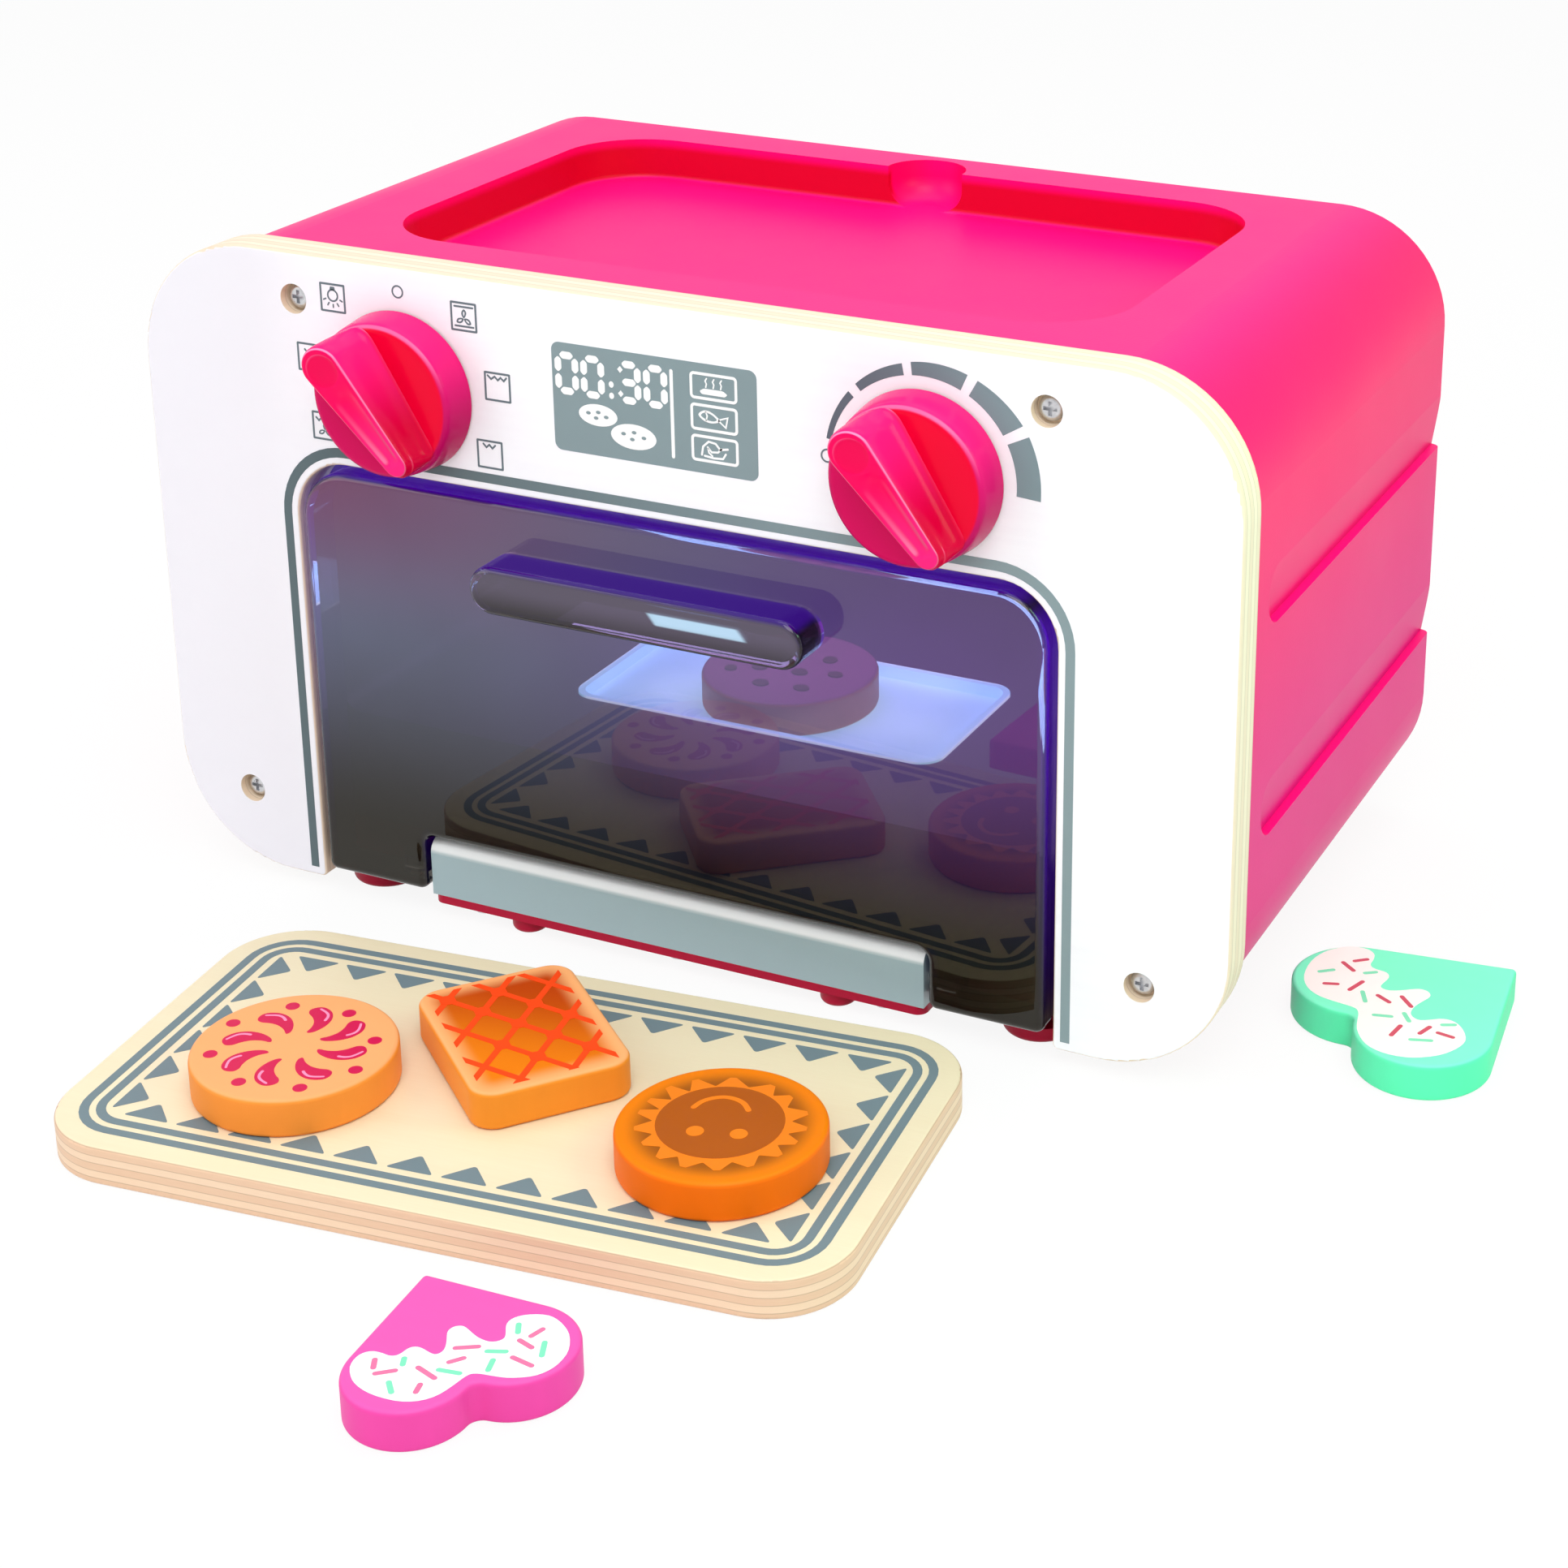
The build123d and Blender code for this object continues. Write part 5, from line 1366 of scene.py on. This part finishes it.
def ink_finish(name, colour, other=None, along_x=None, roughness=0.45):
    """Screen-printed ink with small changes of density; it may shift along x to another colour, for painted
    light and shade.
    """
    paint = Paint(name, Specular_IOR_Level=0.2)
    spot = paint.place()
    cloud = paint.noise(spot, scale=90.0, detail=3.0)
    plain = paint.clouded(cloud, tuple(colour), 0.92)
    if other:
        x, _, _ = paint.axes(spot)
        plain = paint.mix(x.between(*along_x), plain, tuple(other))
    paint.set("Base Color", plain)
    paint.set("Roughness", roughness + (cloud - 0.5) * 0.1)
    return paint.material


NODE_FINISHES = {
    "housing": housing_finish,
    "front_panel": panel_finish,
    "base_plate": dark_base_finish,
    "battery_cover": dark_base_finish,
    "feet_large": dark_base_finish,
    "feet_small": dark_base_finish,
    "cavity_liner": liner_finish,
    "hinge_bar": hinge_finish,
    "door": smoked_finish,
    "uv_window": window_finish,
    "tray": tray_finish,
    "jam_biscuit": jam_finish,
    "sun_biscuit": sun_finish,
    "waffle_biscuit": waffle_finish,
    "chip_biscuit": chip_finish,
    "pink_heart": pink_heart_finish,
    "mint_heart": mint_heart_finish,
}


def dress(node, material):
    """Give a CAD solid its finish."""
    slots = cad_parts[node].data.materials
    slots.clear()
    slots.append(material)


# ------------------------------------------------ settings
def colour_property(name, description, default):
    return bpy.props.FloatVectorProperty(
        name=name, description=description, subtype="COLOR", size=3, min=0, max=1, default=default
    )


def angle_property(name, description, degrees):
    return bpy.props.FloatProperty(
        name=name, description=description, subtype="ANGLE", default=math.radians(degrees)
    )


class OvenColourSettings(bpy.types.PropertyGroup):
    housing: colour_property("Housing", "Colour of the moulded housing", linear(252, 4, 126))
    # painted shade: the darker red painted on the walls inside the well
    well_painted_shade: colour_property("Well walls", "Colour of the walls of the tray's well", linear(206, 0, 0))
    base: colour_property("Base", "Colour of the base and its feet", linear(178, 0, 50))
    knob: colour_property("Knobs", "Colour of the two knobs", linear(250, 0, 92))
    hinge_bar: colour_property("Hinge bar", "Colour of the bar below the door", linear(158, 182, 188))


class OvenPrintSettings(bpy.types.PropertyGroup):
    line_ink: colour_property("Line ink", "Ink of the cooking marks", linear(104, 118, 126))
    # painted light and shade: these inks are darker at the left end and brighter at the right
    mouth_ink_painted_shade: colour_property("Mouth line, left", "Line round the mouth", linear(92, 108, 113))
    mouth_ink_painted_light: colour_property("Mouth line, right", "The same, brighter", linear(136, 155, 160))
    scale_ink_painted_shade: colour_property("Timer scale, left", "Blocks of the timer", linear(96, 108, 119))
    scale_ink_painted_light: colour_property("Timer scale, right", "The same, brighter", linear(124, 144, 150))
    display_ink: colour_property("Clock", "Ground of the clock", linear(134, 153, 158))
    white_ink: colour_property("White ink", "Digits and pictures", linear(250, 251, 252))
    tray_ink: colour_property("Tray ink", "Ink of the tray's border", linear(116, 134, 142))


class OvenBiscuitSettings(bpy.types.PropertyGroup):
    jam: colour_property("Jam", "Petals of the jam biscuit", linear(214, 6, 78))
    jam_gleam: colour_property("Jam gleam", "Light edges of the petals", linear(250, 150, 190))
    sun_ray: colour_property("Sun", "Rays, smile and eyes", linear(246, 130, 20))
    sun_face: colour_property("Sun face", "Dark disc of the sun", linear(176, 86, 2))
    lattice: colour_property("Waffle bars", "Crossed bars of the waffle", linear(252, 74, 14))
    chip: colour_property("Chips", "Chips on the dough biscuit", linear(74, 34, 38))
    icing: colour_property("Icing", "Icing of both hearts", linear(250, 249, 246))
    pink_sprinkle: colour_property("Pink sprinkles", "Sprinkles on the pink heart", linear(238, 118, 164))
    red_sprinkle: colour_property("Red sprinkles", "Sprinkles on the mint heart", linear(206, 84, 104))
    mint_sprinkle: colour_property("Mint sprinkles", "Sprinkles on both hearts", linear(130, 230, 190))


class OvenStageSettings(bpy.types.PropertyGroup):
    lens: bpy.props.FloatProperty(name="Lens", description="Focal length", default=67.69, unit="CAMERA")
    eye: bpy.props.FloatVectorProperty(
        name="Eye", description="Camera place", default=(0.3639, -0.6915, 0.3981), subtype="TRANSLATION"
    )
    yaw: angle_property("Yaw", "Turn to the left", 23.21)
    pitch: angle_property("Pitch", "Tilt down", 18.98)
    roll: angle_property("Roll", "Roll", 0.62)
    shift: bpy.props.FloatVectorProperty(
        name="Shift", description="Lens shift as a share of the frame", size=2, default=(-0.16186, -0.23395)
    )
    world_light: bpy.props.FloatProperty(
        name="World light", description="Strength of the even light from all round", default=0.55, min=0
    )
    floor_shade: bpy.props.FloatProperty(
        name="Floor shade", description="How much of the floor's own shading shows", default=0.1, min=0, max=1
    )


# ------------------------------------------------ lamps
OVEN_MIDDLE = (0.0, 0.0, 0.08)
# name, place, what it aims at, size in metres, power in watts, colour
LAMPS = (
    ("key", (0.5, -0.9, 1.4), OVEN_MIDDLE, 1.0, 13.0, (1.0, 1.0, 1.0)),
    ("fill", (-1.4, -1.0, 0.9), OVEN_MIDDLE, 1.2, 8.0, (1.0, 1.0, 1.0)),
    ("top", (0.0, 0.3, 1.6), OVEN_MIDDLE, 1.4, 9.0, (1.0, 1.0, 1.0)),
    ("cavity", (0.0, -0.01, 0.124), (0.0, -0.01, 0.0), 0.1, 0.35, (0.72, 0.6, 1.0)),
    ("mint", (0.36, -0.1, 0.3), node_middle("mint_heart"), 0.15, 0.34, (0.4, 1.0, 0.6)),
)


# ------------------------------------------------ operators
class OVEN_OT_dress_solids(bpy.types.Operator):
    """Give every solid of the oven its finish"""

    bl_idname = "oven.dress_solids"
    bl_label = "Dress solids"

    def execute(self, context):
        made = {}
        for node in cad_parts:
            finish = NODE_FINISHES.get(node, screw_finish)
            if finish not in made:
                made[finish] = finish()
            dress(node, made[finish])
        return {"FINISHED"}


class OVEN_OT_turn_knobs(bpy.types.Operator):
    """Model the two knobs with their pointers"""

    bl_idname = "oven.turn_knobs"
    bl_label = "Knobs"

    def execute(self, context):
        turned_knob("selector_knob", "left_knob", "selector", knob_finish("selector_gloss", "left_knob"))
        turned_knob("timer_knob", "right_knob", "timer", knob_finish("timer_gloss", "right_knob"))
        return {"FINISHED"}


class OVEN_OT_print_panel(bpy.types.Operator):
    """Print the cooking marks, the clock and the line round the mouth on the front panel"""

    bl_idname = "oven.print_panel"
    bl_label = "Panel prints"

    def execute(self, context):
        inks = context.scene.oven_prints
        self.line_marks(inks)
        self.clock(inks)
        return {"FINISHED"}

    def line_marks(self, inks):
        """The cooking marks, the line round the mouth and the timer scale."""
        marks = InkLayer("cooking_marks", front_place())
        draw_icons(marks)
        marks.raise_up(*PANEL_SLOT, ink_finish("line_ink", inks.line_ink))
        line = InkLayer("mouth_line", front_place())
        line.ribbon(mouth_path(*MOUTH_LINE_OUTER), mouth_path(*MOUTH_LINE_INNER))
        # painted shade on the left, painted light on the right
        ends = (inks.mouth_ink_painted_shade, inks.mouth_ink_painted_light, (-0.11, 0.11))
        line.raise_up(*PANEL_SLOT, ink_finish("mouth_ink", *ends))
        scale = InkLayer("timer_scale", front_place())
        for block in TIMER_BLOCKS:
            scale.ribbon(*timer_block(*block))
        # painted shade on the left, painted light on the right
        ends = (inks.scale_ink_painted_shade, inks.scale_ink_painted_light, (0.05, 0.10))
        scale.raise_up(*PANEL_SLOT, ink_finish("scale_ink", *ends))

    def clock(self, inks):
        """The clock's ground with its digits and pictures."""
        ground = InkLayer("clock_ground", front_place())
        ground.shape(rounded_box(*CLOCK_HALF, CLOCK_CORNER, CLOCK_MIDDLE))
        ground.raise_up(*PANEL_SLOT, ink_finish("clock_ink", inks.display_ink))
        white = InkLayer("clock_marks", front_place(), SECOND_LAYER)
        chips = InkLayer("clock_chips", front_place(), THIRD_LAYER)
        draw_display(white, chips)
        white.raise_up(*PANEL_SLOT, ink_finish("white_ink", inks.white_ink))
        chips.raise_up(*PANEL_SLOT, ink_finish("chip_ink", inks.display_ink))


class OVEN_OT_print_tray(bpy.types.Operator):
    """Print the border of lines and triangles on the tray"""

    bl_idname = "oven.print_tray"
    bl_label = "Tray border"

    def execute(self, context):
        border = InkLayer("tray_border", top_place("tray", TRAY_TURN))
        draw_tray_border(border)
        border.raise_up("tray", "tray_wood", ink_finish("tray_ink", context.scene.oven_prints.tray_ink))
        return {"FINISHED"}


class OVEN_OT_decorate_biscuits(bpy.types.Operator):
    """Draw the jam petals, the sun, the waffle bars and the chips on the round and square biscuits"""

    bl_idname = "oven.decorate_biscuits"
    bl_label = "Biscuit tops"

    def execute(self, context):
        colours = context.scene.oven_biscuits
        self.jam(colours)
        self.sun(colours)
        self.waffle(colours)
        self.chips(colours)
        return {"FINISHED"}

    def jam(self, colours):
        place = top_place("jam_biscuit")
        petals = InkLayer("jam_petals", place)
        gleams = InkLayer("jam_gleams", place, SECOND_LAYER)
        draw_jam(petals, gleams)
        petals.raise_up("jam_biscuit", "peach_paint", ink_finish("jam_ink", colours.jam, roughness=0.35))
        gleams.raise_up("jam_biscuit", "peach_paint", ink_finish("gleam_ink", colours.jam_gleam))

    def sun(self, colours):
        place = top_place("sun_biscuit")
        rays = InkLayer("sun_rays", place)
        face = InkLayer("sun_face", place, SECOND_LAYER)
        marks = InkLayer("sun_smile", place, THIRD_LAYER)
        draw_sun(rays, face, marks)
        ray_ink = ink_finish("sun_ink", colours.sun_ray)
        rays.raise_up("sun_biscuit", "orange_paint", ray_ink)
        face.raise_up("sun_biscuit", "orange_paint", ink_finish("sun_face_ink", colours.sun_face))
        marks.raise_up("sun_biscuit", "orange_paint", ray_ink)

    def waffle(self, colours):
        place = top_place("waffle_biscuit", WAFFLE_TURN)
        falling = InkLayer("waffle_falling_bars", place)
        rising = InkLayer("waffle_rising_bars", place, 0.0)
        gussets = InkLayer("waffle_gussets", place, 0.02)
        draw_waffle(falling, rising, gussets)
        ink = ink_finish("lattice_ink", colours.lattice)
        for layer in (falling, rising, gussets):
            layer.raise_up("waffle_biscuit", "waffle_paint", ink)

    def chips(self, colours):
        spots = InkLayer("dough_chips", top_place("chip_biscuit"), height=DOUGH_CHIP_HEIGHT)
        for x, y, radius, stretch in DOUGH_CHIPS:
            spots.shape(disc((x, y), radius, 14, stretch))
        spots.raise_up("chip_biscuit", "peach_paint", ink_finish("chip_brown", colours.chip))


class OVEN_OT_ice_hearts(bpy.types.Operator):
    """Spread the icing on the two hearts and scatter its sprinkles"""

    bl_idname = "oven.ice_hearts"
    bl_label = "Heart icing"

    def execute(self, context):
        colours = context.scene.oven_biscuits
        white = ink_finish("icing_white", colours.icing, roughness=0.4)
        reds = {
            "pink_heart": ink_finish("sprinkle_pink", colours.pink_sprinkle),
            "mint_heart": ink_finish("sprinkle_red", colours.red_sprinkle),
        }
        mint = ink_finish("sprinkle_mint", colours.mint_sprinkle)
        for body, slot, (x, y), turn, scale, shift, red_lines, mint_lines in HEARTS:
            place = top_place(body, math.radians(turn), (x * MM, y * MM))
            icing = InkLayer(body + "_icing", place)
            draw_icing(icing, scale, shift)
            icing.raise_up(body, slot, white)
            for name, lines, ink in (("red", red_lines, reds[body]), ("mint", mint_lines, mint)):
                sprinkles = InkLayer(body + "_" + name + "_sprinkles", place, SECOND_LAYER)
                draw_sprinkles(sprinkles, lines, scale, shift)
                sprinkles.raise_up(body, slot, ink)
        return {"FINISHED"}


class OVEN_OT_stage(bpy.types.Operator):
    """Lay the floor, hang the lights and set up the camera"""

    bl_idname = "oven.stage"
    bl_label = "Stage, lights and camera"

    def execute(self, context):
        settings = context.scene.oven_stage
        self.lay_floor(settings)
        self.light_world(settings)
        self.hang_lights()
        self.set_camera(settings)
        return {"FINISHED"}

    def lay_floor(self, settings):
        """A white floor that mostly hides its own shading where it is looked at, under a white world."""
        clear_selection()
        bpy.ops.mesh.primitive_plane_add(size=12.0)
        floor = bpy.context.object
        floor.name = "floor"
        paint = Paint("floor_white", Base_Color=(0.9, 0.9, 0.9), Roughness=0.6, Specular_IOR_Level=0.0)
        bright = paint.node("ShaderNodeEmission", {}).out()
        share = paint.seen() * (1.0 - settings.floor_shade)
        paint.end_between("Material Output", share, Signal(paint, paint.shader.outputs[0]), bright)
        floor.data.materials.append(paint.material)

    def light_world(self, settings):
        """A soft world that is plain white where the camera, gloss or glass looks at it."""
        world = bpy.data.worlds.new("studio")
        bpy.context.scene.world = world
        world.use_nodes = True
        studio = ShaderTree(world.node_tree)
        soft = studio.tree.nodes["Background"]
        studio.put(soft.inputs["Color"], (1.0, 1.0, 1.0))
        studio.put(soft.inputs["Strength"], settings.world_light)
        bright = studio.node("ShaderNodeBackground", {}).out()
        studio.end_between("World Output", studio.seen(), Signal(studio, soft.outputs[0]), bright)

    def hang_lights(self):
        for name, place, aim, size, power, colour in LAMPS:
            lamp = bpy.data.lights.new(name, "AREA")
            lamp.size = size
            lamp.energy = power
            lamp.color = colour
            holder = bpy.data.objects.new(name, lamp)
            holder.location = place
            holder.visible_camera = False
            ray = Vector(aim) - Vector(place)
            holder.rotation_euler = ray.to_track_quat("-Z", "Y").to_euler()
            bpy.context.scene.collection.objects.link(holder)

    def set_camera(self, settings):
        yaw, pitch, roll = settings.yaw, settings.pitch, settings.roll
        ahead = Vector((-math.sin(yaw) * math.cos(pitch), math.cos(yaw) * math.cos(pitch), -math.sin(pitch)))
        right = Vector((math.cos(yaw), math.sin(yaw), 0))
        up = right.cross(ahead)
        level_right = math.cos(roll) * right + math.sin(roll) * up
        level_up = -math.sin(roll) * right + math.cos(roll) * up
        turn = Matrix((level_right, level_up, -ahead)).transposed().to_4x4()
        lens = bpy.data.cameras.new("camera")
        lens.sensor_width = 36
        lens.lens = settings.lens
        lens.shift_x, lens.shift_y = settings.shift
        lens.clip_start = 0.01
        holder = bpy.data.objects.new("camera", lens)
        holder.matrix_world = Matrix.Translation(settings.eye) @ turn
        bpy.context.scene.collection.objects.link(holder)
        bpy.context.scene.camera = holder
        bpy.context.scene.view_settings.view_transform = "Standard"


class OVEN_PT_panel(bpy.types.Panel):
    bl_label = "Toy oven"
    bl_idname = "OVEN_PT_panel"
    bl_space_type = "VIEW_3D"
    bl_region_type = "UI"
    bl_category = "Toy oven"

    def draw(self, context):
        for operator in OPERATORS:
            self.layout.operator(operator.bl_idname)


SETTINGS = {
    "oven_colours": OvenColourSettings,
    "oven_prints": OvenPrintSettings,
    "oven_biscuits": OvenBiscuitSettings,
    "oven_stage": OvenStageSettings,
}
OPERATORS = (
    OVEN_OT_dress_solids,
    OVEN_OT_turn_knobs,
    OVEN_OT_print_panel,
    OVEN_OT_print_tray,
    OVEN_OT_decorate_biscuits,
    OVEN_OT_ice_hearts,
    OVEN_OT_stage,
)


def register():
    for group in SETTINGS.values():
        bpy.utils.register_class(group)
    for operator in OPERATORS:
        bpy.utils.register_class(operator)
    bpy.utils.register_class(OVEN_PT_panel)
    for name, group in SETTINGS.items():
        setattr(bpy.types.Scene, name, bpy.props.PointerProperty(type=group))


def unregister():
    for name in SETTINGS:
        delattr(bpy.types.Scene, name)
    bpy.utils.unregister_class(OVEN_PT_panel)
    for operator in reversed(OPERATORS):
        bpy.utils.unregister_class(operator)
    for group in reversed(SETTINGS.values()):
        bpy.utils.unregister_class(group)


def main():
    register()
    bpy.ops.oven.dress_solids()
    bpy.ops.oven.turn_knobs()
    bpy.ops.oven.print_panel()
    bpy.ops.oven.print_tray()
    bpy.ops.oven.decorate_biscuits()
    bpy.ops.oven.ice_hearts()
    bpy.ops.oven.stage()


if __name__ == "__main__":
    main()
